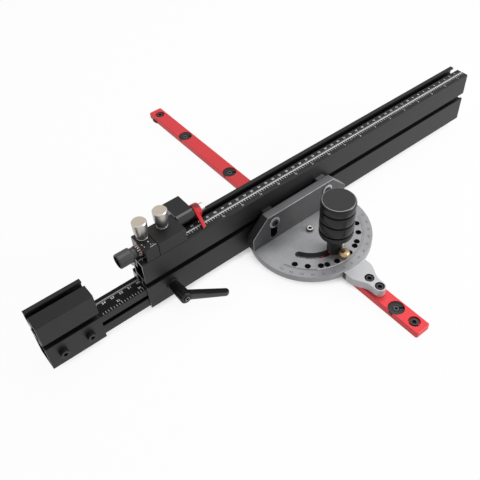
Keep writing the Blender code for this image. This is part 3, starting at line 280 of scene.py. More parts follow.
ALONG_X = (12, 2600, 2600)
ALONG_Y = (2600, 12, 2600)
ROUND_Z = (50, 50, 3200)
EVEN = (1800, 1800, 1800)
HANDLE_AXIS = (0.0, -40 * MM)
LOOKS = {
    "black_anodised": finish("black_anodised", *grey(0.007, 0.013), 0.0, (0.36, 0.48), ALONG_X,
                             0.05, specular=0.34),
    "red_anodised": finish("red_anodised", (0.60, 0.022, 0.030), (0.76, 0.045, 0.052), 0.3,
                           (0.36, 0.50), ALONG_Y, 0.06),
    "blasted_aluminium": finish("blasted_aluminium", *grey(0.15, 0.52), 0.3, (0.40, 0.62),
                                (900, 900, 900), 0.45, 45),
    "black_steel": finish("black_steel", *grey(0.008, 0.020), 0.3, (0.28, 0.42), EVEN, 0.05),
    "bright_steel": finish("bright_steel", (0.43, 0.41, 0.39), (0.58, 0.55, 0.52), 1.0,
                           (0.30, 0.40), ROUND_Z, 0.03),
    "brass": finish("brass", (0.37, 0.26, 0.145), (0.49, 0.35, 0.20), 1.0, (0.32, 0.42), ROUND_Z,
                    0.05),
    "copper": finish("copper", (0.66, 0.32, 0.24), (0.80, 0.44, 0.34), 0.8, (0.35, 0.45), EVEN,
                     0.03),
    "black_plastic": finish("black_plastic", *grey(0.004, 0.008), 0.0, (0.26, 0.36),
                            (700, 700, 700), 0.05, specular=0.30),
    "red_plastic": finish("red_plastic", (0.48, 0.008, 0.016), (0.64, 0.016, 0.026), 0.0,
                          (0.28, 0.36), (500, 500, 500), 0.03, specular=0.28),
}
POINTER_METAL = finish("pointer_aluminium", *grey(0.38, 0.60), 0.3, (0.42, 0.56),
                       (1200, 1200, 1200), 0.20, 45)
# A darker copy of the blasted aluminium: painted shade on the bracket.
BRACKET_SHADE_METAL = finish("bracket_aluminium_painted_shade", *grey(0.060, 0.115), 0.3, (0.42, 0.58),
                       (2200, 2200, 2200), 0.25, 45)
SAWN = finish("sawn_aluminium", *grey(0.30, 0.55), 0.5, (0.4, 0.5), (900, 900, 3500), 0.1)
# A brushed grey, lighter than the bracket's: painted light on the bracket's top and the right pad.
LIT_BRUSHED_GREY = finish("painted_light_brushed_grey", *grey(0.09, 0.17), 0.3, (0.35, 0.5), ALONG_X, 0.2, 45)
SATIN = finish("satin_black", *grey(0.006, 0.011), 0.0, (0.20, 0.26), ALONG_X, 0.02,
               specular=0.7)
# A dark grey steel: painted shade on the pivot screw's sides, and the colour of the expansion
# screws.
GREY_STEEL = finish("grey_steel", *grey(0.055, 0.085), 0.3, (0.30, 0.42), EVEN, 0.05)
KNOB = finish("knob_grey", *grey(0.014, 0.030), 0.0, (0.34, 0.46), (12, 1500, 1500), 0.06)
# Painted shade on the left fence pad.
PAINTED_SHADE_PAD = finish("painted_shade_pad", *grey(0.020, 0.045), 0.2, (0.5, 0.6), EVEN, 0.1, specular=0.3)
# Painted shade: a darker black for the upward faces of the extrusions, the stop blocks and the stop
# arm.
PAINTED_SHADE_TOP = finish("painted_shade_top", *grey(0.004, 0.008), 0.0, (0.48, 0.60), ALONG_X, 0.04,
                  specular=0.25)
GRIP_TOP = finish("grip_top", *grey(0.004, 0.010), 0.0, (0.34, 0.56), (1500, 0, 0), 0.30,
                  specular=0.34, rings=HANDLE_AXIS)
# A painted highlight: a pale band round the edge of the grip's top.
RIM_HIGHLIGHT = finish("painted_rim_highlight", *grey(0.16, 0.30), 0.2, (0.2, 0.3), EVEN, 0.02, specular=0.8)
# Painted shade: a darker red for the cursor's left and upper faces.
PAINTED_SHADE_RED = finish("painted_shade_red", (0.14, 0.002, 0.005), (0.22, 0.004, 0.008), 0.0, (0.3, 0.4),
                  EVEN, 0.02, specular=0.25)
NUT_TOP = finish("sanded_top", (0.37, 0.32, 0.26), (0.50, 0.44, 0.36), 0.5, (0.5, 0.6),
                 (900, 3000, 900), 0.10)
WHITE_MARK = finish("white_mark", *grey(0.66, 0.84), 0.0, (0.5, 0.6), EVEN, 0.02)
PALE_MARK = finish("pale_mark", *grey(0.30, 0.42), 0.0, (0.5, 0.6), EVEN, 0.02)
# A painted highlight on the front part of the protractor's arc.
EDGE_HIGHLIGHT = finish("painted_edge_highlight", *grey(0.62, 0.80), 0.2, (0.4, 0.5), EVEN, 0.03)
LINE_MARK = finish("line_mark", *grey(0.44, 0.58), 0.0, (0.5, 0.6), EVEN, 0.02)
RING_BRUSHED = finish("ring_brushed", *grey(0.15, 0.47), 0.35, (0.34, 0.56), (1300, 0, 0), 0.30,
                      45, rings=(0.0, 0.0))
BARREL = finish("barrel_black", *grey(0.004, 0.009), 0.0, (0.13, 0.19), ALONG_X, 0.02,
                specular=0.55)
ENGRAVED = finish("engraved", *grey(0.12, 0.18), 0.2, (0.5, 0.65), EVEN, 0.05)
# Painted shade on the left part of the protractor's arc.
EDGE_SHADE_LINE = finish("painted_edge_shade", *grey(0.03, 0.06), 0.0, (0.5, 0.65), EVEN, 0.05)
# Painted shade on the bracket's left shoulder.
PAINTED_SHADE_SIDE = finish("painted_shade_side", *grey(0.014, 0.030), 0.1, (0.5, 0.62), EVEN, 0.1,
                   specular=0.25)
# Painted shade: black for the walls of holes, rooms and slots, for grooves, sockets and slits, and
# for some upward faces.
PAINTED_SHADE_BLACK = finish("painted_shade_black", *grey(0.003, 0.006), 0.0, (0.55, 0.68), EVEN, 0.03,
                    specular=0.10)
SHADED = finish("shaded_metal", *grey(0.045, 0.075), 0.2, (0.5, 0.62), EVEN, 0.05,
                specular=0.25)
print("finishes:", len(bpy.data.materials))

# %% [markdown]
# Every CAD node first gets the finish of its record slot, on the object and not on its mesh.
# Where its shape is already right, as on the flat bar, that is all it needs.

# %% Finish the CAD nodes
SLOT_OF = {row["node"]: row["material_slot"] for row in frame["record"]["subparts"]}
for name, node in frame["nodes"].items():
    slot = node.material_slots[0]
    slot.link = "OBJECT"
    slot.material = LOOKS[SLOT_OF[name]]
print("nodes finished:", len(SLOT_OF))

# %% [markdown]
# Helpers. Every new surface is a grid of points worked out as whole arrays: a profile turned
# about an axis, or an outline carried along an axis with its edges rounded over. The last step
# is the same for all: into a mesh, faces outwards, smooth but for the sharp edges.

# %% From arrays to pieces
SIDES = {"x": (1, 2, 0), "y": (0, 2, 1), "z": (0, 1, 2)}


def spans(node):
    """The low corner, the high corner and the middle of a CAD node's box."""
    low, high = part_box(node)
    return low, high, (low + high) / 2


def laid(points, axis, place=(0, 0, 0)):
    """Local (u, v, w) as world points: w goes along the axis, u and v along the other two."""
    world = np.empty_like(points)
    for local, column in enumerate(SIDES[axis]):
        world[:, column] = points[:, local]
    return world + np.asarray(place)


def quads(rows, columns, ring=True, loop=False):
    """Faces between neighbouring rows of a grid; ring closes each row, loop joins the last
    row to the first."""
    across = np.arange(columns if ring else columns - 1)
    down = np.arange(rows if loop else rows - 1)[:, None]
    near, far = down * columns, (down + 1) % rows * columns
    after = (across + 1) % columns
    return np.stack([near + across, near + after, far + after, far + across], -1).reshape(-1, 4)


def piece(name, points, faces, body, node=None, slot=None, look=None, sharp=50, weighted=True,
          facing=(), painted=()):
    """A mesh object at the origin, its faces turned outwards, riding on its body. A piece that
    stands for a CAD node takes the finish of that node's slot unless look is given.
    facing holds (direction, finish, cosine) rows: faces closer to that direction than the
    cosine says, 0.99 where there is none, take that finish. painted holds (first face, end
    face, finish) rows."""
    slot = slot or SLOT_OF.get(node)
    mesh = bpy.data.meshes.new(name)
    mesh.from_pydata(np.asarray(points).tolist(), [], [list(map(int, f)) for f in faces])
    turned_out(mesh)
    mesh.shade_smooth()
    mesh.set_sharp_from_angle(angle=math.radians(sharp))
    thing = linked(name, mesh)
    mesh.materials.append(look or LOOKS[slot])
    for direction, other, *cosine in facing:
        mesh.materials.append(other)
        for face in mesh.polygons:
            if face.normal.dot(Vector(direction)) > (cosine or [0.99])[0]:
                face.material_index = len(mesh.materials) - 1
    for first, last, other in painted:
        mesh.materials.append(other)
        for face in mesh.polygons[first:last]:
            face.material_index = len(mesh.materials) - 1
    if weighted:
        even = thing.modifiers.new("even_normals", "WEIGHTED_NORMAL")
        even.keep_sharp = True
        even.weight = 100
    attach(thing, body)
    if node:
        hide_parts(node)
    return thing


def turned_out(mesh):
    """Merges doubles, then recalculates the normals so that every face points outwards."""
    shape = bmesh.new()
    shape.from_mesh(mesh)
    bmesh.ops.remove_doubles(shape, verts=shape.verts, dist=1e-7)
    bmesh.ops.recalc_face_normals(shape, faces=shape.faces)
    shape.to_mesh(mesh)
    shape.free()


# %% [markdown]
# A turned piece: each profile point is (radius, height) and may name how its ring departs from
# a circle, such as a hexagon socket or a knurl.

# %% Turned pieces
def hexagonal(turn):
    """A hexagon's radius over its corner's: cos 30 over the cosine from the side's middle."""
    off = np.mod(turn, math.pi / 3) - math.pi / 6
    return math.cos(math.pi / 6) / np.cos(off)


def knurled(turn):
    """Fine straight knurling: a small cosine wave, forty-eight to a turn."""
    return 1 + 0.012 * np.cos(48 * turn)


def fluted(turn):
    """Ten soft flats: the radius dips a little in the middle of each."""
    return 1 - 0.018 * (0.5 + 0.5 * np.cos(10 * turn))


def octagonal(turn):
    """An octagon's radius over its corner's, as for the hexagon."""
    off = np.mod(turn + 0.2, math.pi / 4) - math.pi / 8
    return math.cos(math.pi / 8) / np.cos(off)


RINGS = {"round": np.ones_like, "hex": hexagonal, "knurl": knurled, "flute": fluted,
         "octagon": octagonal}
UP, LEFT, RIGHT = (0, 0, 1), (-1, 0, 0), (1, 0, 0)


def turned_points(profile, segments):
    """Grid of profile rows by segments: radius times the ring's shape, at angle and height."""
    turn = np.linspace(0, 2 * math.pi, segments, endpoint=False)
    rows = []
    for radius, height, *kind in profile:
        reach = radius * RINGS[kind[0] if kind else "round"](turn)
        rows.append(np.column_stack([reach * np.cos(turn), reach * np.sin(turn),
                                     np.full(segments, height)]))
    return np.concatenate(rows)


def turned(name, profile, axis, place, body, node=None, segments=72, ring=False, bands=(),
           dark_end=False, **more):
    """A solid of revolution closed by its two end faces, or by its own profile for a ring.
    bands holds (first band, end band, finish) rows, a band being the faces between two rings of
    points; dark_end paints the second end face black as painted shade, as at the bottom of a
    socket."""
    points = laid(turned_points(profile, segments), axis, place)
    faces = quads(len(profile), segments, loop=ring).tolist()
    painted = [(segments * first, segments * end, look) for first, end, look in bands]
    if not ring:
        last = (len(profile) - 1) * segments
        faces += [list(range(segments)), list(range(last, last + segments))]
    if dark_end:
        painted.append((len(faces) - 1, len(faces), PAINTED_SHADE_BLACK))
    return piece(name, points, faces, body, node, painted=painted, **more)


def rounded_over(radius, height, edge, steps):
    """Profile points of a quarter round from a side at this radius to a top at this height."""
    turn = np.linspace(0, math.pi / 2, steps + 1)
    return [(radius - edge * (1 - math.cos(a)), height - edge * (1 - math.sin(a))) for a in turn]


# %% [markdown]
# A straight piece: an outline with holes, carried along an axis. At each end the outline draws
# in by a quarter round, so that the edge catches the light as a machined edge does.

# %% Straight pieces
def drawn_in(loop, distance):
    """Each point moved left of the walk: by distance times the sum of the normals of its two
    sides over one plus the cosine between them, which is taken as 0.35 at least."""
    before = loop - np.roll(loop, 1, 0)
    after = np.roll(loop, -1, 0) - loop
    first = np.column_stack([-before[:, 1], before[:, 0]]) / np.linalg.norm(before, axis=1)[:, None]
    last = np.column_stack([-after[:, 1], after[:, 0]]) / np.linalg.norm(after, axis=1)[:, None]
    middle = first + last
    middle /= np.maximum(np.sum(middle * first, 1), 0.35)[:, None]
    return loop + middle * distance


def walked(loop, anticlockwise):
    """The loop in the wanted sense, from the sign of its area."""
    loop = np.asarray(loop, float)
    following = np.roll(loop, -1, 0)
    area = np.sum(loop[:, 0] * following[:, 1] - following[:, 0] * loop[:, 1])
    return loop if (area > 0) == anticlockwise else loop[::-1]


def straight(name, outline, holes, axis, start, length, body, edge, node=None, steps=2,
             place=(0, 0, 0), inside=(), first_edge=None, **more):
    """A prism from start to start + length: rows of the outline at offset edge (1 - sin a) and
    depth edge (1 - cos a) round both ends, and end faces filled between outline and holes.
    inside names a finish for each hole's walls, first_edge one for the rounding of the
    outline at its first end."""
    loops = [walked(outline, True)] + [walked(hole, False) for hole in holes]
    turn = np.linspace(0, math.pi / 2, steps + 1)
    offsets = edge * (1 - np.sin(turn))
    depths = edge * (1 - np.cos(turn))
    levels = np.concatenate([start + depths, start + length - depths[::-1]])
    offsets = np.concatenate([offsets, offsets[::-1]])
    points, faces, firsts, count, painted = [], [], [], 0, []
    for loop, wall in zip(loops, [None, *inside] + [None] * len(holes)):
        rows = [np.column_stack([drawn_in(loop, o), np.full(len(loop), w)])
                for o, w in zip(offsets, levels)]
        points += rows
        if first_edge and not faces:
            painted.append((0, steps * len(loop), first_edge))
        if wall:
            painted.append((len(faces), len(faces) + (len(rows) - 1) * len(loop), wall))
        faces += (quads(len(rows), len(loop)) + count).tolist()
        firsts.append(count)
        count += len(rows) * len(loop)
    for row in (0, len(levels) - 1):
        index = np.concatenate([np.arange(len(loop)) + first + row * len(loop)
                                for loop, first in zip(loops, firsts)])
        flat = [[Vector((*p, 0)) for p in drawn_in(loop, edge)] for loop in loops]
        faces += [index[list(tri)].tolist() for tri in tessellate_polygon(flat)]
    return piece(name, laid(np.concatenate(points), axis, place), faces, body, node,
                 painted=painted, **more)


def arc(centre, radius, start, end, steps=24):
    """Points of an arc from start to end degrees, both included."""
    turn = np.radians(np.linspace(start, end, steps + 1))
    return np.column_stack([centre[0] + radius * np.cos(turn), centre[1] + radius * np.sin(turn)])


def circle(centre, radius, segments=40):
    """A whole turn of arc without its last point, which is its first again."""
    return arc(centre, radius, 0, 360, segments)[:-1]


def cornered(corners, steps=6):
    """An outline whose (u, v, radius) corners are arcs tangent to both of their sides."""
    points = []
    for i, (u, v, radius) in enumerate(corners):
        here = Vector((u, v))
        if radius == 0:
            points.append((u, v))
            continue
        before = (Vector(corners[i - 1][:2]) - here).normalized()
        after = (Vector(corners[(i + 1) % len(corners)][:2]) - here).normalized()
        half = before.angle(after) / 2
        middle = here + (before + after).normalized() * radius / math.sin(half)
        first = here + before * radius / math.tan(half) - middle
        sweep = first.angle_signed(here + after * radius / math.tan(half) - middle)
        points += [tuple(middle + Matrix.Rotation(-sweep * k / steps, 2) @ first)
                   for k in range(steps + 1)]
    return np.array(points)


print("helpers ready")

# %% [markdown]
# The handle is a moulded grip with three finger grooves on a dark steel neck. Both are turned.
# The grooves are painted black inside as painted shade, and a thin pale band round the edge of
# the top is a painted highlight; the top is brushed in rings and lies a little lower than its edge.

# %% Handle
GROOVES = (8.5, 23.5, 38.2)
GROOVE_HALF = 1.15
FOOT_ROWS, SWELL_ROWS, GROOVE_ROWS = 3, 14, 3


def grip_profile(low, high, radius):
    """Three grooves part four rings. Each ring swells by 0.45 mm between its grooves, by a sine
    of the share of its height, and each groove is 2 mm deep with a narrow floor."""
    height = (high - low) / MM
    radius = radius / MM
    stops = [1.4, *GROOVES, height - 1.5]
    rows = [(4.2, 0), (radius - 1.8, 0), (radius - 0.9, 0.35)]
    for order, (start, end) in enumerate(zip(stops, stops[1:])):
        first = start + GROOVE_HALF * (order > 0)
        last = end - GROOVE_HALF * (order < len(GROOVES))
        share = np.linspace(0, 1, SWELL_ROWS)
        swell = radius - 0.45 + 0.45 * np.sin(math.pi * share) ** 0.6
        rows += list(zip(swell, first + share * (last - first)))
        if order < len(GROOVES):
            rows += [(radius - 1.8, end - 0.9), (radius - 2.0, end), (radius - 1.8, end + 0.9)]
    rows += [(radius - 0.6, height - 1.2), (radius - 1.3, height - 0.35),
             (radius - 1.6, height - 0.1), (radius - 2.0, height), (radius - 2.2, height - 0.1),
             (radius * 0.5, height - 0.15), (0.2, height - 0.15)]
    return [(r * MM, h * MM + low) for r, h in rows]


low, high, middle = spans("handle_grip")
stem = (middle.x, middle.y, 0)
profile = grip_profile(low.z, high.z, (high.x - low.x) / 2)
into_groove = [FOOT_ROWS + SWELL_ROWS - 1 + order * (SWELL_ROWS + GROOVE_ROWS)
               for order in range(len(GROOVES))]
edge_band = len(profile) - 6
turned("grip", profile, "z", stem, "handle", "handle_grip", 96, facing=[(UP, GRIP_TOP)],
       bands=[(band, band + GROOVE_ROWS + 1, PAINTED_SHADE_BLACK) for band in into_groove]
       + [(edge_band, edge_band + 2, RIM_HIGHLIGHT)])
low, high, middle = spans("handle_neck")
neck, bevel = (high.x - low.x) / 2, 0.6 * MM
turned("neck", [(4.1 * MM, low.z), (neck - bevel, low.z), (neck, low.z + bevel),
                (neck, low.z + 1 * MM), (neck, high.z - 1 * MM), (neck, high.z - bevel),
                (neck - bevel, high.z), (4.1 * MM, high.z)], "z", stem, "handle", "handle_neck")
print("handle turned")

# %% [markdown]
# The protractor head is one thick blasted plate: round rim, straight back, a curved slot for
# the clamp stud and eleven index holes. The plate's edges are rounded over by 0.45 mm, enough
# for the pale line that the rim shows.

# %% Protractor plate
PLATE_RADIUS = 71 * MM
INDEX_CIRCLE = 55 * MM
SLOT_CIRCLE = 40 * MM
INDEX_ANGLES = (-60, -45, -30, -22.5, -10, 0, 10, 22.5, 30, 45, 60)
PLATE_EDGE = 0.45 * MM
plate_low, plate_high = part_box("protractor_plate")


def on_plate(radius, angle):
    """The plate's point at an angle from straight towards the operator."""
    return (radius * math.sin(math.radians(angle)), -radius * math.cos(math.radians(angle)))


def slot_loop(half_width, half_angle=60):
    """Two arcs about the pivot, joined by round ends."""
    first, last = -90 - half_angle, -90 + half_angle
    outer = arc((0, 0), SLOT_CIRCLE + half_width, first, last, 60)
    end = arc(on_plate(SLOT_CIRCLE, half_angle), half_width, last, last + 180, 12)
    inner = arc((0, 0), SLOT_CIRCLE - half_width, last, first, 60)
    start = arc(on_plate(SLOT_CIRCLE, -half_angle), half_width, first + 180, first + 360, 12)
    return np.concatenate([outer, end[1:-1], inner, start[1:-1]])


back = math.degrees(math.asin(plate_high.y / PLATE_RADIUS))
rim = arc((0, 0), PLATE_RADIUS, -180 - back, back, 150)
holes = [slot_loop(4.0 * MM), circle((0, 0), 3.3 * MM)]
holes += [circle(on_plate(INDEX_CIRCLE, angle), 3.0 * MM, 32) for angle in INDEX_ANGLES]
# The walls of the slot are painted dark grey and those of the pivot and index holes black, both as
# painted shade.
straight("plate", rim, holes, "z", plate_low.z, plate_high.z - plate_low.z, "head", PLATE_EDGE,
         "protractor_plate", steps=3,
         inside=[SHADED] + [PAINTED_SHADE_BLACK] * (len(holes) - 1))
print("plate with", len(holes), "holes")

# %% [markdown]
# The pointer plate grips the rim and runs out over the bar to its two deep screws. Its waist
# is a cosine, its tail round. It is the same metal as the plate, but machined brighter. The
# short straight flank at its left shoulder is painted dark grey as painted shade, and the walls
# of its two screw wells black, also as painted shade.

# %% Pointer plate
WELL_PLACES = (-93.4, -108.3)
TAIL_RADIUS = 6.7 * MM
SHOULDER = [[15.28, -73.8], [15.5, -79.0]]
LEFT_FLANK = (-0.99975, 0.0225, 0)


def pointer_loop():
    """Hollow end on the rim, cosine waist, round tail: half width = tail + rest (1 + cos) / 2."""
    hollow = arc((0, 0), PLATE_RADIUS + 0.3 * MM, -90 - 12.3, -90 + 12.3, 40)
    run = np.linspace(0, 1, 28)[1:]
    half = TAIL_RADIUS + 8.7 * MM * (1 + np.cos(math.pi * run)) / 2
    down = -79 * MM - 23 * MM * run
    right = np.vstack([np.array(SHOULDER) * MM, np.column_stack([half, down])])
    tail = arc((0, WELL_PLACES[1] * MM), TAIL_RADIUS, 0, -180, 36)
    left = right[::-1] * (-1, 1)
    return np.concatenate([hollow, right, tail, left])


low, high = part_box("pointer_plate")
wells = [circle((0, y * MM), 4.9 * MM, 48) for y in WELL_PLACES]
straight("pointer", pointer_loop(), wells, "z", low.z, high.z - low.z, "bar", PLATE_EDGE,
         "pointer_plate", steps=3, look=POINTER_METAL, inside=[PAINTED_SHADE_BLACK] * 2,
         facing=[(LEFT_FLANK, SHADED, 0.9999)])
print("pointer made")

# %% [markdown]
# The bracket is an upright plate with sloping shoulders. Two slots let the fence be set in
# height; a plated washer and a socket screw sit at the top of each. Its light and shade are
# painted: its own grey is darker than the plate's as painted shade, the walls of its slots are
# black and its left shoulder darker still, also as painted shade, its top is a lighter brushed
# grey as painted light, and its right shoulder and the rounding of its front edge are a painted
# highlight in the plate's blasted grey.

# %% Bracket
SHOULDERS = [(-70, 0, 0.4), (70, 0, 0.4), (70, 17, 1.0), (49, 38, 2.0), (-49, 38, 2.0),
             (-70, 17, 1.0)]
SLOT_PLACES = (-40.4, 40)
SLOT_HALF, SLOT_ROUND, SLOT_HEIGHT = 4.2 * MM, 4.1 * MM, 26 * MM
LEFT_SHOULDER, RIGHT_SHOULDER = (-0.86, 0, 0.5), (0.707, 0, 0.707)

low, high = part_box("fence_bracket")
outline = cornered([(u * MM, v * MM + low.z, r * MM) for u, v, r in SHOULDERS])
slot_top = 46.0 * MM + 3.75 * MM
slots = [cornered([(x * MM + side * SLOT_HALF, level, SLOT_ROUND) for side, level in (
    (-1, slot_top - SLOT_HEIGHT), (1, slot_top - SLOT_HEIGHT), (1, slot_top), (-1, slot_top))], 10)
         for x in SLOT_PLACES]
straight("bracket", outline, slots, "y", low.y, high.y - low.y, "head", 0.5 * MM,
         "fence_bracket", steps=3, look=BRACKET_SHADE_METAL, inside=[PAINTED_SHADE_BLACK] * 2,
         first_edge=LOOKS["blasted_aluminium"],
         facing=[(UP, LIT_BRUSHED_GREY), (LEFT_SHOULDER, PAINTED_SHADE_SIDE, 0.85),
                 (RIGHT_SHOULDER, LOOKS["blasted_aluminium"])])
# The left pad is painted darker as painted shade, and the right one the lighter brushed grey as
# painted light.
frame["nodes"]["fence_pad_left"].material_slots[0].material = PAINTED_SHADE_PAD
frame["nodes"]["fence_pad_right"].material_slots[0].material = LIT_BRUSHED_GREY
print("bracket made")

# %% [markdown]
# Extrusions. The fence and the end block are one profile with three T-slots; the extension
# that slides inside is a smaller one. Their sections are walked here from the same numbers as
# the solids, and the sawn ends show bare metal.

# %% Extrusions
WALL, WEB = 2.2 * MM, 1.76 * MM
CORNER = 0.5 * MM


def notch(face, middle, opening, grip, depth, lip):
    """A T-slot's notch in a face at u = face, walked upwards from below."""
    lower, upper = middle - opening / 2, middle + opening / 2
    under, floor = face + lip, face + lip + depth
    return [(face, lower, 0), (under, lower, 0), (under, lower - grip, 0),
            (floor, lower - grip, 0), (floor, upper + grip, 0), (under, upper + grip, 0),
            (under, upper, 0), (face, upper, 0)]


def box_loop(u0, u1, v0, v1):
    """A sharp-cornered rectangle."""
    return cornered([(u0, v0, 0), (u1, v0, 0), (u1, v1, 0), (u0, v1, 0)])


def fence_loops():
    """The fence's outline in (y, z) from its lower front corner, and its rooms."""
    depth, height = 27.9 * MM, 68.4 * MM
    front = notch(0, 36.8 * MM, 7.6 * MM, 1.4 * MM, 6 * MM, WALL)
    slot_floor = height - 9.4 * MM
    chamber = 30.4 * MM
    rear_height = (chamber + slot_floor) / 2 - 1.2 * MM
    rear = [(depth - u, v, r) for u, v, r in
            reversed(notch(0, rear_height, 7.6 * MM, 2 * MM, 6 * MM, WALL))]
    middle = depth - 8.3 * MM
    top = [(v, height - u, r) for u, v, r in notch(0, middle, 6.4 * MM, 3.1 * MM, 7.2 * MM, WALL)]
    outline = [(0, 0, 1.2 * MM), *front, (0, height, 1.5 * MM), *top, (depth, height, CORNER),
               *rear, (depth, 0, CORNER)]
    front_top, inner, back_wall = 42.0 * MM, middle - 6.3 * MM - WEB, 19.7 * MM - WEB
    rooms = [box_loop(WALL, depth - WALL, WALL, chamber),
             box_loop(8.2 * MM + WEB, back_wall, chamber + WEB, front_top)]
    rooms.append(cornered([(WALL, front_top + WEB, 0), (back_wall, front_top + WEB, 0),
                           (back_wall, slot_floor - WEB, 0), (inner, slot_floor - WEB, 0),
                           (inner, height - WALL, 0), (WALL, height - WALL, 0)]))
    return cornered(outline), rooms


def extension_loops():
    """The extension's outline in (y, z) from its lower front corner, and its rooms."""
    depth, height = 22.9 * MM, 27.6 * MM
    slot = notch(0, 15.2 * MM, 6.1 * MM, 2 * MM, 3.8 * MM, WALL)
    outline = [(0, 0, CORNER), *slot, (0, height, CORNER), (depth, height, CORNER),
               (depth, 0, CORNER)]
    slot_low, slot_high = 10.15 * MM, 20.25 * MM
    rooms = [box_loop(WALL, depth - WALL, WALL, slot_low - WEB),
             box_loop(6 * MM + WEB, depth - WALL, slot_low, slot_high),
             box_loop(WALL, depth - WALL, slot_high + WEB, height - WEB)]
    return cornered(outline), rooms


# Their upward faces, down over the rounding of their top edges, are painted darker as painted
# shade, black on the extension, and the walls of their hollow rooms are painted black as painted
# shade.
for node, body, (outline, rooms), top in (
        ("fence", "fence", fence_loops(), PAINTED_SHADE_TOP),
        ("end_block", "extension", fence_loops(), PAINTED_SHADE_TOP),
        ("extension", "extension", extension_loops(), PAINTED_SHADE_BLACK)):
    low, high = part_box(node)
    straight(node + "_profile", outline, rooms, "x", low.x, high.x - low.x, body, 0.22 * MM, node,
             place=(0, low.y, low.z), inside=[PAINTED_SHADE_BLACK] * len(rooms),
             facing=[(UP, top, 0.4), (LEFT, SAWN), (RIGHT, SAWN)])
print("extrusions made")

# %% [markdown]
# The flip stop: two blocks that clamp in the top slot, a barrelled arm on a rod, the red cursor
# with its hand on the scale, and the fine adjuster at the left end, whose block is drawn 2 mm
# shorter at its left and the collar beside it as much further right.

# %% Stop blocks, arm and cursor
SHORTER = 2.0 * MM
ROD = (51.0 * MM, 88.3 * MM)
HAND_WIDTH = 4.2 * MM
HUB_RADIUS = 7.6

# The upward faces of the blocks and of the arm are painted darker as painted shade.
for name, body, cut in (("adjuster_block", "adjuster", SHORTER), ("carriage_block", "carriage", 0)):
    low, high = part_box(name)
    low.x += cut
    outline = cornered([(low.y, low.z, 0.3 * MM), (high.y, low.z, 0.3 * MM),
                        (high.y, high.z, 0.6 * MM), (low.y, high.z, 0.6 * MM)])
    straight(name + "_body", outline, [], "x", low.x, high.x - low.x, body, 0.4 * MM, name,
             facing=[(UP, PAINTED_SHADE_TOP), (LEFT, SATIN)])

low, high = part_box("flip_arm")
barrel = arc(ROD, 7.0 * MM, 90, 270, 48)
leg = cornered([(59.5 * MM, 81.3 * MM, 0.6 * MM), (59.5 * MM, low.z, 1 * MM),
                (high.y, low.z, 3 * MM), (high.y, high.z, 1.2 * MM),
                (ROD[0] + 1 * MM, high.z, 0)])
straight("stop_arm", np.concatenate([barrel, leg[:-1]]), [circle(ROD, 3.3 * MM)], "x", low.x,
         high.x - low.x, "arm", 0.5 * MM, "flip_arm", steps=3, look=BARREL,
         facing=[(UP, PAINTED_SHADE_TOP)])


def cursor_loop():
    """A round hub with a thin hand that leaves its front and bends down to the scale."""
    outer = [(40.2, 87.9), (37.0, 84.1), (34.4, 80.9), (32.7, 78.9), (33.4, 78.1)]
    inner = [(34.9, 78.2), (36.8, 80.2), (39.4, 83.2), (42.2, 86.0)]
    hub = arc(ROD, HUB_RADIUS * MM, 190, 525, 64)
    return np.concatenate([hub, np.array(outer + inner) * MM])


low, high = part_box("cursor")
# The hand's left and upper faces and the sleeve's upper faces are painted a darker red as painted
# shade.
straight("cursor_hand", cursor_loop(), [circle(ROD, 3.25 * MM)], "x", low.x, HAND_WIDTH,
         "carriage", 0.5 * MM, "cursor", steps=3,
         facing=[(LEFT, PAINTED_SHADE_RED, 0.6), (UP, PAINTED_SHADE_RED, 0.9)])
overlap = HAND_WIDTH / MM - 0.6
sleeve = [(3.3, overlap), (HUB_RADIUS, overlap, "octagon"), (HUB_RADIUS, 7.8, "octagon"),
          (7.0, 8.4, "octagon"), (3.3, 8.4)]
turned("cursor_sleeve", [(r * MM, h * MM + low.x, *kind) for r, h, *kind in sleeve], "x", (0, *ROD),
       "carriage", slot="red_plastic", segments=160, ring=True, sharp=25,
       facing=[(UP, PAINTED_SHADE_RED, 0.85)])
low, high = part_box("stop_rod")
head = high.x - 5.5 * MM
turned("rod", [(0.2 * MM, low.x), (2.6 * MM, low.x), (3.0 * MM, low.x + 0.4 * MM),
               (3 * MM, head), (4.3 * MM, head), (4.6 * MM, head + 0.3 * MM),
               (4.6 * MM, high.x - 0.8 * MM), (4.3 * MM, high.x - 0.2 * MM),
               (3.8 * MM, high.x), (0.2 * MM, high.x)], "x", (0, *ROD), "carriage", "stop_rod",
       48)
print("stop made")

# %% [markdown]
# Thumb nuts are turned and plated: narrow at the foot, wider at the rim, with a matte sanded
# top. The washers beneath are plain, and so are the other flat rings of the gauge.

# %% Thumb nuts and washers
def thumb_profile(low, high, radius):
    """Foot to rim: the radius is the full one less 0.3 of it times the cube of the share left."""
    height = high - low
    rise = np.linspace(0, 1, 24)
    reach = radius * (1 - 0.3 * (1 - rise) ** 3)
    side = list(zip(reach, low + 0.4 * MM + rise * (height * 0.86 - 0.4 * MM)))
    rim = [(radius, high - 1.3 * MM), (radius, high - 0.9 * MM),
           (radius - 0.75 * MM, high - 0.05 * MM), (radius - 0.95 * MM, high),
           (radius - 1.3 * MM, high), (0.2 * MM, high)]
    return [(2.8 * MM, low), (radius * 0.66, low), (radius * 0.7, low + 0.3 * MM)] + side[1:] + rim


for word in ("adjuster", "carriage"):
    node = word + "_thumb_nut"
    low, high, middle = spans(node)
    turned(word + "_nut_turned", thumb_profile(low.z, high.z, (high.x - low.x) / 2), "z",
           (middle.x, middle.y, 0), word + "_nut", node, facing=[(UP, NUT_TOP)])


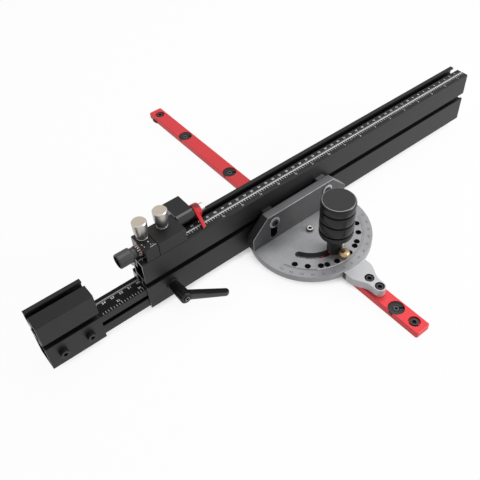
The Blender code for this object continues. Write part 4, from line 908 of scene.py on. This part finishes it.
def ring_piece(node, axis, hole, body, radius=0, moved=0, **more):
    """A flat ring in the place of a CAD washer, moved along its axis, its four edges bevelled by
    a quarter of a millimetre or 0.4 of its thickness. A radius of 0 is the washer's own."""
    low, high, middle = spans(node)
    across, along = SIDES[axis][0], SIDES[axis][2]
    low[along] += moved
    high[along] += moved
    radius = radius or (high[across] - low[across]) / 2
    start, end = low[along], high[along]
    edge = min(0.25 * MM, (end - start) * 0.4)
    profile = [(hole, start + edge), (hole + edge, start), (radius - edge, start),
               (radius, start + edge), (radius, end - edge), (radius - edge, end),
               (hole + edge, end), (hole, end - edge)]
    place = [*middle]
    place[along] = 0
    return turned(node + "_ring", profile, axis, place, body, node, 64, ring=True, **more)


# The upward faces of these rings are painted dark grey as painted shade.
for node, axis, hole, body, radius in (
        ("adjuster_washer", "z", 2.8, "adjuster", 6.0),
        ("carriage_washer", "z", 2.8, "carriage", 6.0),
        ("lever_washer", "y", 2.8, "fence", 0), ("t_slot_washer", "z", 2.5, "bar", 0),
        ("pivot_bearing", "z", 3.3, "bar", 0), ("friction_ring", "x", 2.5, "knob", 6.7),
        ("graduated_collar", "x", 2.5, "knob", 6.4)):
    ring_piece(node, axis, hole * MM, body, radius=radius * MM, moved=SHORTER * (axis == "x"),
               facing=[(UP, SHADED)])
for word in ("left", "right"):
    ring_piece("fence_washer_" + word, "y", 2.8 * MM, "head", radius=7.1 * MM, look=POINTER_METAL)
print("nuts and washers made")

# %% [markdown]
# Socket screws: a head with a rounded rim, knurled on the end block, and a real hexagon socket,
# whose rings are hexagons in the same turned grid and which is painted black inside as painted
# shade. Screws that stand up have their head on top, those across the fence have it in front.
# HUB is the clamp lever's axis, round whose screw a thin bright rim shows.

# %% Screws
HUB = Vector((-168.2 * MM, 0, 26.9 * MM))


def screw(node, axis, seat, radius, height, socket, body, shank, depth=2.2, side="round", **more):
    """Head from its seat, which lies this far from the CAD head's end, to a hexagon socket, all
    in millimetres. The CAD node's shank is drawn again as a plain rod of its own length."""
    low, high, middle = spans(node)
    along = SIDES[axis][2]
    place = [*middle]
    if axis == "z":
        direction, place[along] = 1, high.z - seat * MM
        shank_length = place[along] - low.z
    else:
        direction, place[along] = -1, low.y + seat * MM
        shank_length = high.y - low.y - seat * MM
    radius, height, socket, shank, depth = (v * MM for v in (radius, height, socket, shank, depth))
    edge = 0.5 * MM
    profile = [(0.2 * MM, -shank_length), (shank, -shank_length), (shank, 0),
               (radius - 0.1 * MM, 0), (radius, 0.15 * MM, side), (radius, height - edge, side)]
    profile += rounded_over(radius, height, edge, 3)[1:]
    profile += [(socket + 0.35 * MM, height), (socket, height - 0.25 * MM, "hex"),
                (socket, height - depth, "hex"), (0.15 * MM, height - depth - 0.4 * MM)]
    profile = [(r, h * direction, *kind) for r, h, *kind in profile]
    return turned(node + "_turned", profile, axis, place, body, node, 96,
                  bands=[(len(profile) - 3, len(profile) - 1, PAINTED_SHADE_BLACK)], dark_end=True, **more)


for word in ("left", "right"):
    screw("block_screw_" + word, "y", 5.0, 4.7, 5.0, 2.35, "extension", 2.5, side="knurl")
    screw("fence_screw_" + word, "y", 5.0, 4.5, 1.3, 2.3, "head", 2.5, 1.0)
for number in ("1", "2"):
    screw("pointer_screw_" + number, "z", 8.4, 4.3, 8.4, 2.3, "bar", 2.5, 3)
for word in ("near", "far"):
    screw("end_screw_" + word, "z", 2.9, 4.8, 2.9, 2.3, "bar", 2.2, 1.8)
# The pivot screw's sides are a dark grey steel as painted shade, and its top is painted bright
# steel as a painted highlight.
screw("pivot_screw", "z", 3.6, 4.2, 3.6, 1.7, "bar", 3.0, look=GREY_STEEL,
      facing=[(UP, LOOKS["bright_steel"], 0.9)])
screw("lever_screw", "y", 5.0, 3.6, 5.0, 1.9, "fence", 2.5, look=LOOKS["black_steel"])
low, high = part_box("lever_screw")
rim = [(1.9, 0), (2.3, 0), (2.3, 0.12), (1.9, 0.12)]
turned("lever_screw_rim", [(r * MM, low.y - h * MM) for r, h in rim], "y",
       (HUB.x, 0, HUB.z), "fence", slot="bright_steel", ring=True)
for number in ("1", "2", "3"):
    screw("expansion_screw_" + number, "z", 0.9, 3.2, 0.9, 1.75, "bar", 2.2, 0.8, look=GREY_STEEL)
print("screws made")

# %% [markdown]
# The expansion discs are split on one side: a turned ring whose sweep stops short of the whole
# turn by the slit, and whose two ends are closed and painted black as painted shade, like the
# small black floor that is laid in the slit to stand for its shade. Where a disc stands out of
# the bar's left side, two small black stubs stand for the shade in the gaps beside it.

# %% Expansion discs
SLIT = 2.2 * MM
SLIT_ANGLE = math.radians(-40)
SLIT_FLOOR = np.array([[3.4, -1.05], [8.2, -1.05], [8.2, 1.05], [3.4, 1.05]]) * MM
GAP_ANGLES = (("far", 141), ("near", 221))
GAP_LOW, GAP_TOP = 7.6 * MM, 8.03 * MM


def split_disc(node, columns=72):
    """A ring profile swept from one side of the slit round to the other; at each radius the
    slit takes twice the angle whose sine is half its width over that radius."""
    low, high, middle = spans(node)
    radius = (high.y - low.y) / 2
    out, foot, top = radius / MM, low.z / MM, high.z / MM
    profile = np.array([(2.8, foot), (out - 0.3, foot), (out, foot + 0.3), (out, top - 0.4),
                        (out - 0.4, top), (3.9, top), (3.55, top - 0.3), (2.8, top - 1.2)]) * MM
    gap = np.arcsin(SLIT / 2 / profile[:, 0])
    sweeps = np.linspace(SLIT_ANGLE + gap, SLIT_ANGLE + 2 * math.pi - gap, columns, axis=1)
    rows = [np.column_stack([r * np.cos(turn), r * np.sin(turn), np.full(columns, h)])
            for (r, h), turn in zip(profile, sweeps)]
    points = laid(np.concatenate(rows), "z", (middle.x, middle.y, 0))
    faces = quads(len(profile), columns, ring=False, loop=True).tolist()
    faces += [[row * columns + column for row in range(len(profile))]
              for column in (0, columns - 1)]
    piece(node + "_turned", points, faces, "bar", node,
          painted=[(len(faces) - 2, len(faces), PAINTED_SHADE_BLACK)])
    swing = Matrix.Rotation(SLIT_ANGLE, 2)
    floor = np.array([swing @ Vector(corner) for corner in SLIT_FLOOR]) + (middle.x, middle.y)
    straight(node + "_slit", floor, [], "z", high.z - 1.6 * MM, 0.6 * MM, "bar", 0.1 * MM,
             steps=1, look=PAINTED_SHADE_BLACK)
    for word, angle in GAP_ANGLES:
        angle = math.radians(angle)
        beside = middle + Vector((math.cos(angle), math.sin(angle), 0)) * radius
        turned(f"{node}_gap_{word}", [(0.1 * MM, GAP_LOW), (0.9 * MM, GAP_LOW),
                                      (0.9 * MM, GAP_TOP), (0.1 * MM, GAP_TOP)],
               "z", (beside.x, beside.y, 0), "bar", segments=20, look=LOOKS["black_plastic"])


for number in (1, 2, 3):
    split_disc(f"expansion_disc_{number}")
print("discs made")

# %% [markdown]
# The index pin: a brass knob, nearly a ball, on a short shank.

# %% Index pin
KNOB_HEIGHT, KNOB_RADIUS = 8.5 * MM, 6.4 * MM


def pin_profile(low, high, radius):
    """Shank, a neck, then the knob: radius times the sine of an angle from foot to crown, to the
    power 0.85 so that its sides stand a little fuller than a ball's."""
    knob = high - KNOB_HEIGHT
    turn = np.linspace(0.62, math.pi * 0.93, 26)
    reach = radius * np.sin(turn) ** 0.85
    rise = (np.cos(turn[0]) - np.cos(turn)) / (np.cos(turn[0]) - np.cos(turn[-1]))
    body = list(zip(reach, knob + 0.3 * MM + rise * (KNOB_HEIGHT - 0.35 * MM)))
    shank = [(0.2 * MM, low), (2.3 * MM, low), (2.7 * MM, low + 0.5 * MM),
             (2.7 * MM, knob - 0.1 * MM), (2.9 * MM, knob)]
    return shank + body + [(0.2 * MM, high)]


low, high, middle = spans("index_pin")
turned("pin_turned", pin_profile(low.z, high.z, KNOB_RADIUS), "z", (middle.x, middle.y, 0),
       "index_pin", "index_pin")
print("pin made")

# %% [markdown]
# The fine adjuster's knob is a cup, painted black inside as painted shade, with soft flutes
# between two chamfers, and a neck towards the graduated collar.

# %% Adjuster knob
low, high, middle = spans("adjuster_knob")
axis_y, axis_z = middle.y, middle.z
neck_end = high.x + SHORTER
outside = [(0.2, 3.0), (6.3, 3.0), (6.5, 0.3), (6.7, 0), (7.0, 0), (7.6, 0.25), (8.1, 1.0, "flute"),
           (8.1, 1.3, "flute"), (8.1, 14.3, "flute"), (8.1, 14.6, "flute"), (7.5, 15.4),
           (7.2, 15.6), (6.1, 15.6), (6.1, 15.9)]
profile = [(r * MM, low.x + h * MM, *kind) for r, h, *kind in outside]
profile += [(6.1 * MM, neck_end - 0.2 * MM), (5.9 * MM, neck_end), (0.2 * MM, neck_end)]
turned("adjuster_knob_turned", profile, "x", (0, axis_y, axis_z), "knob", "adjuster_knob", 144,
       look=KNOB, bands=[(0, 2, PAINTED_SHADE_BLACK)])
print("knob made")

# %% [markdown]
# The clamp lever: a turned hub, and an arm whose oval ring shrinks along its reach and closes
# over a rounded tip.

# %% Clamp lever
FRONT, SEAT = 4.6 * MM, 29.1 * MM
ARM_REACH = (45.5, -17.6, -15.5)
tapered = [(2.8, 0), (5.9, 0), (6.3, 6), (6.6, 10), (6.9, 13)]
faced = [(6.9, 1.4), (6.75, 0.6), (6.2, 0.1), (5.9, 0), (4.2, 0), (3.95, 0.2), (3.95, 4.4),
         (2.8, 4.4)]
hub = [(r * MM, SEAT - h * MM) for r, h in tapered] + [(r * MM, FRONT + h * MM) for r, h in faced]
turned("lever_hub", hub, "y", (HUB.x, 0, HUB.z), "lever", "clamp_lever", ring=True)


def arm_grid(segments=40, rows=40):
    """Super-ellipse rings square to the reach; half sizes run straight from root to tip and the
    last four millimetres close as a quarter round."""
    root = np.array([HUB.x, FRONT + 6.5 * MM, HUB.z])
    reach = np.array(ARM_REACH) * MM
    along = reach / np.linalg.norm(reach)
    across = np.cross(along, [0, 1, 0])
    across /= np.linalg.norm(across)
    outward = np.cross(across, along)
    share = np.linspace(0.04, 1, rows)
    tip = 4.0 * MM / np.linalg.norm(reach)
    closing = np.sqrt(np.clip(1 - ((share - (1 - tip)) / tip).clip(0) ** 2, 0.0004, 1))
    tall = (5.8 - 1.6 * share) * MM * closing
    wide = (4.2 - 0.8 * share) * MM * closing
    turn = np.linspace(0, 2 * math.pi, segments, endpoint=False)
    power = 0.72
    ring_u = np.sign(np.cos(turn)) * np.abs(np.cos(turn)) ** power
    ring_v = np.sign(np.sin(turn)) * np.abs(np.sin(turn)) ** power
    centre = root + share[:, None] * reach
    grid = (centre[:, None] + (tall[:, None] * ring_u)[..., None] * across
            + (wide[:, None] * ring_v)[..., None] * outward)
    return grid.reshape(-1, 3), rows, segments


points, rows, segments = arm_grid()
faces = quads(rows, segments).tolist()
faces += [list(range(segments)), list(range((rows - 1) * segments, rows * segments))]
# The arm's upper faces are painted black as painted shade.
piece("lever_arm", points, faces, "lever", slot="black_plastic", look=SATIN, sharp=60,
      weighted=False, facing=[(UP, PAINTED_SHADE_BLACK, 0.45)])
print("lever made")

# %% [markdown]
# The marks. Each tick is a thin closed box that starts just under the surface and ends just
# over it; each digit is the filled outline of a plain numeral, equally thin. All are worked out
# flat, in millimetres, then carried to their place. Those on the plate lie a little higher,
# because a brushed band runs round the rim beneath them.

# %% Ticks and numerals
THIN = np.array([-0.03, 0.03]) * MM
BAND_LIFT = 0.02
FONT_CAPITAL, DIGIT_STEP = 0.73, 0.74
CORNERS = np.array([(u, v, w) for w in (0, 1) for v in (0, 1) for u in (0, 1)])
BOX_FACES = np.array([(0, 1, 3, 2), (4, 5, 7, 6), (0, 1, 5, 4), (2, 3, 7, 6), (0, 2, 6, 4),
                      (1, 3, 7, 5)])


def on_level(level):
    """Carries flat points to this level in millimetres."""
    return lambda points: points + (0, 0, level * MM)


def on_head(points):
    """u is an angle in degrees from the middle of the rim, v a distance from the pivot."""
    turn = np.radians(points[:, 0] / MM)
    return np.column_stack([points[:, 1] * np.sin(turn), -points[:, 1] * np.cos(turn),
                            points[:, 2] + plate_high.z + BAND_LIFT * MM])


def on_collar(points, radius=6.4 * MM):
    """u runs along the adjuster's axis, v is an angle in degrees round it."""
    turn, reach = np.radians(points[:, 1] / MM), radius + points[:, 2]
    return np.column_stack([points[:, 0], axis_y + reach * np.cos(turn),
                            axis_z + reach * np.sin(turn)])


def bars(name, rows, body, look, carried):
    """One closed box for each (u0, u1, v0, v1) row: low corner plus size times unit corner."""
    rows = np.asarray(rows, float)
    size = (rows[:, [1, 3]] - rows[:, [0, 2]])[:, None]
    flat = rows[:, None, [0, 2]] + CORNERS[:, :2] * size
    level = np.broadcast_to(THIN[CORNERS[:, 2]], flat.shape[:2])
    points = np.dstack([flat * MM, level]).reshape(-1, 3)
    faces = (BOX_FACES + 8 * np.arange(len(rows))[:, None, None]).reshape(-1, 4)
    return piece(name, carried(points), faces, body, look=look, sharp=30, weighted=False)


def digit_shapes():
    """Each digit's points and faces, one unit tall, with the middle of its foot at the origin."""
    shapes = {}
    for digit in "0123456789":
        outline = bpy.data.curves.new(digit, "FONT")
        outline.body = digit
        outline.extrude = 0.5
        outline.resolution_u = 3
        outline.offset = 0.02
        thing = bpy.data.objects.new(digit, outline)
        mesh = bpy.data.meshes.new_from_object(thing)
        points = np.array([vertex.co for vertex in mesh.vertices])
        points[:, 0] -= (points[:, 0].min() + points[:, 0].max()) / 2
        points[:, :2] /= FONT_CAPITAL
        shapes[digit] = points, [list(face.vertices) for face in mesh.polygons]
        bpy.data.objects.remove(thing)
        bpy.data.meshes.remove(mesh)
    return shapes


DIGITS = digit_shapes()


def labels(name, rows, height, body, look, carried):
    """Each (number, u, v, turn) row as digits DIGIT_STEP of their height apart, turned about
    their middle by turn degrees and centred on (u, v)."""
    points, faces, count = [], [], 0
    for number, u, v, turn in rows:
        cos, sin = math.cos(math.radians(turn)), math.sin(math.radians(turn))
        text = str(number)
        for order, digit in enumerate(text):
            shape, polygons = DIGITS[digit]
            along = (order - (len(text) - 1) / 2) * DIGIT_STEP * height
            flat = shape[:, :2] * height + (along, -height / 2)
            flat = flat @ np.array([(cos, sin), (-sin, cos)]) + (u, v)
            points.append(np.column_stack([flat * MM, np.where(shape[:, 2] > 0, THIN[1], THIN[0])]))
            faces += [[index + count for index in polygon] for polygon in polygons]
            count += len(shape)
    return piece(name, carried(np.concatenate(points)), faces, body, look=look, sharp=30,
                 weighted=False)


def ticks(places, foot, direction, lengths, width=0.34):
    """Rows of ticks from v = foot for (n, u) places; each is as long as the first
    (step, length) says whose step divides its n."""
    rows = []
    for order, u in places:
        length = next(length for step, length in lengths if order % step == 0)
        rows.append((u - width / 2, u + width / 2, *sorted((foot, foot + direction * length))))
    return rows


# %% [markdown]
# The fence's top carries an inch scale in eighths towards the operator and a millimetre scale
# behind it, both counted from the right end and sharing one white line. The extension goes on
# with the same count.

# %% Fence and extension scales
INCH = 25.4
EIGHTHS = ((8, 3.7), (4, 3.1), (2, 2.7), (1, 2.4))
LONG_EIGHTHS = ((8, 4.6), (4, 3.6), (2, 3.0), (1, 2.6))
MILLIMETRES = ((10, 2.1), (5, 1.8), (1, 1.3))
INCH_ZERO, MM_ZERO = 286.65, 302.1
EXTENSION_INCH, EXTENSION_MM = -225.6, -198.2 + 50

fence = ("fence", WHITE_MARK, on_level(77.6))
eighths = [(n, INCH_ZERO - n * INCH / 8) for n in range(-4, 152)]
tenths = [(n, MM_ZERO - n) for n in range(1, 498)]
bars("fence_inches", ticks(eighths, 38.8, -1, EIGHTHS, 0.62), "fence", LINE_MARK, fence[2])
bars("fence_millimetres", ticks(tenths, 40.1, 1, MILLIMETRES), "fence", PALE_MARK, fence[2])
bars("fence_line", [(-196.4, 301.2, 38.9, 39.95)], *fence)
labels("fence_inch_numbers", [(n + 1, INCH_ZERO - INCH * n, 33.6, 0) for n in range(19)], 1.9,
       *fence)
labels("fence_centimetre_numbers", [(n, MM_ZERO - 10 * n, 44.1, 0) for n in range(1, 50)], 2.4,
       *fence)

pale = ("extension", PALE_MARK, on_level(39.3))
white = ("extension", WHITE_MARK, on_level(39.3))
eighths = [(n, EXTENSION_INCH + n * INCH / 8) for n in range(-7, 66)]
tenths = [(n, EXTENSION_MM - n) for n in range(-130, 104)]
bars("extension_inches", ticks(eighths, 33.8, 1, LONG_EIGHTHS, 0.75), *pale)
bars("extension_millimetres", ticks(tenths, 50.2, -1, MILLIMETRES, 0.5), *pale)
bars("extension_line", [(-252.8, -16.0, 50.25, 51.15)], *pale)
labels("extension_inch_numbers", [(21 - n, -227.6 + INCH * n, 39.9, 0) for n in range(9)], 2.5,
       *white)
labels("extension_centimetre_numbers",
       [(50 - n, -200.0 + 10.2 * n, 47.0, 0) for n in range(-4, 18)], 2.9, *white)
# A thin white strip along the top of the arm's left face is a painted highlight of that edge.
bars("arm_edge_highlight", [(51, 74.2, 94.0, 94.9)], "arm", WHITE_MARK,
     lambda points: np.column_stack([-142.2 * MM - points[:, 2], points[:, 0], points[:, 1]]))
print("fence and extension marked")

# %% [markdown]
# The protractor's scale is engraved: an arc, a tick for every degree outside it and a number at
# every ten, on a band that is brushed in rings. The arc's tone is painted light and shade: black
# at the left as painted shade, pale in front as a painted highlight, and grey at the right. The
# fine adjuster has a short scale on its block and sixteen ticks on its collar.

# %% Protractor and adjuster scales
DEGREES = ((10, 3.4), (5, 2.6), (1, 1.8))
for name, outer, inner, first, last, look in (
        ("protractor_arc_left", 60.1, 59.4, -161, -125, EDGE_SHADE_LINE),
        ("protractor_arc_front", 59.85, 59.2, -125, -86, EDGE_HIGHLIGHT),
        ("protractor_arc_right", 59.6, 59.2, -86, -19, ENGRAVED),
        ("protractor_band", 70.45, 60.15, -164, -16, RING_BRUSHED)):
    loop = np.concatenate([arc((0, 0), outer * MM, first, last, 140),
                           arc((0, 0), inner * MM, last, first, 140)])
    straight(name, loop, [], "z", plate_high.z + THIN[0], THIN[1] - THIN[0], "head", 0.01 * MM,
             steps=1, look=look)
degrees = [(n, n) for n in range(-70, 71)]
bars("protractor_degrees", ticks(degrees, 60.1, 1, DEGREES, 0.26), "head", ENGRAVED, on_head)
labels("protractor_numbers", [(abs(n), *on_plate(66.6, n), n) for n in range(-70, 71, 10)], 3.0,
       "head", ENGRAVED, on_level(18.7 + BAND_LIFT))

block = ("adjuster", WHITE_MARK, on_level(93.6))
bars("adjuster_scale", [(-183.4, -176.4, 33.3, 33.8), (-181.0, -180.6, 35.6, 37.6),
                        (-179.0, -178.6, 34.6, 35.8), (-188.0, -187.4, 36.8, 38.0)], *block)
labels("adjuster_numbers", [(0, -180.9, 41.2, 0), (5, -188.2, 41.4, 0)], 2.0, *block)
COLLAR_STEP = 22.5
bars("collar_ticks", [(-194.4 + 0.9 * (n % 2), -191.6, COLLAR_STEP * n - 4.5,
                       COLLAR_STEP * n + 4.5) for n in range(16)], "knob", WHITE_MARK, on_collar)
print("scales marked")
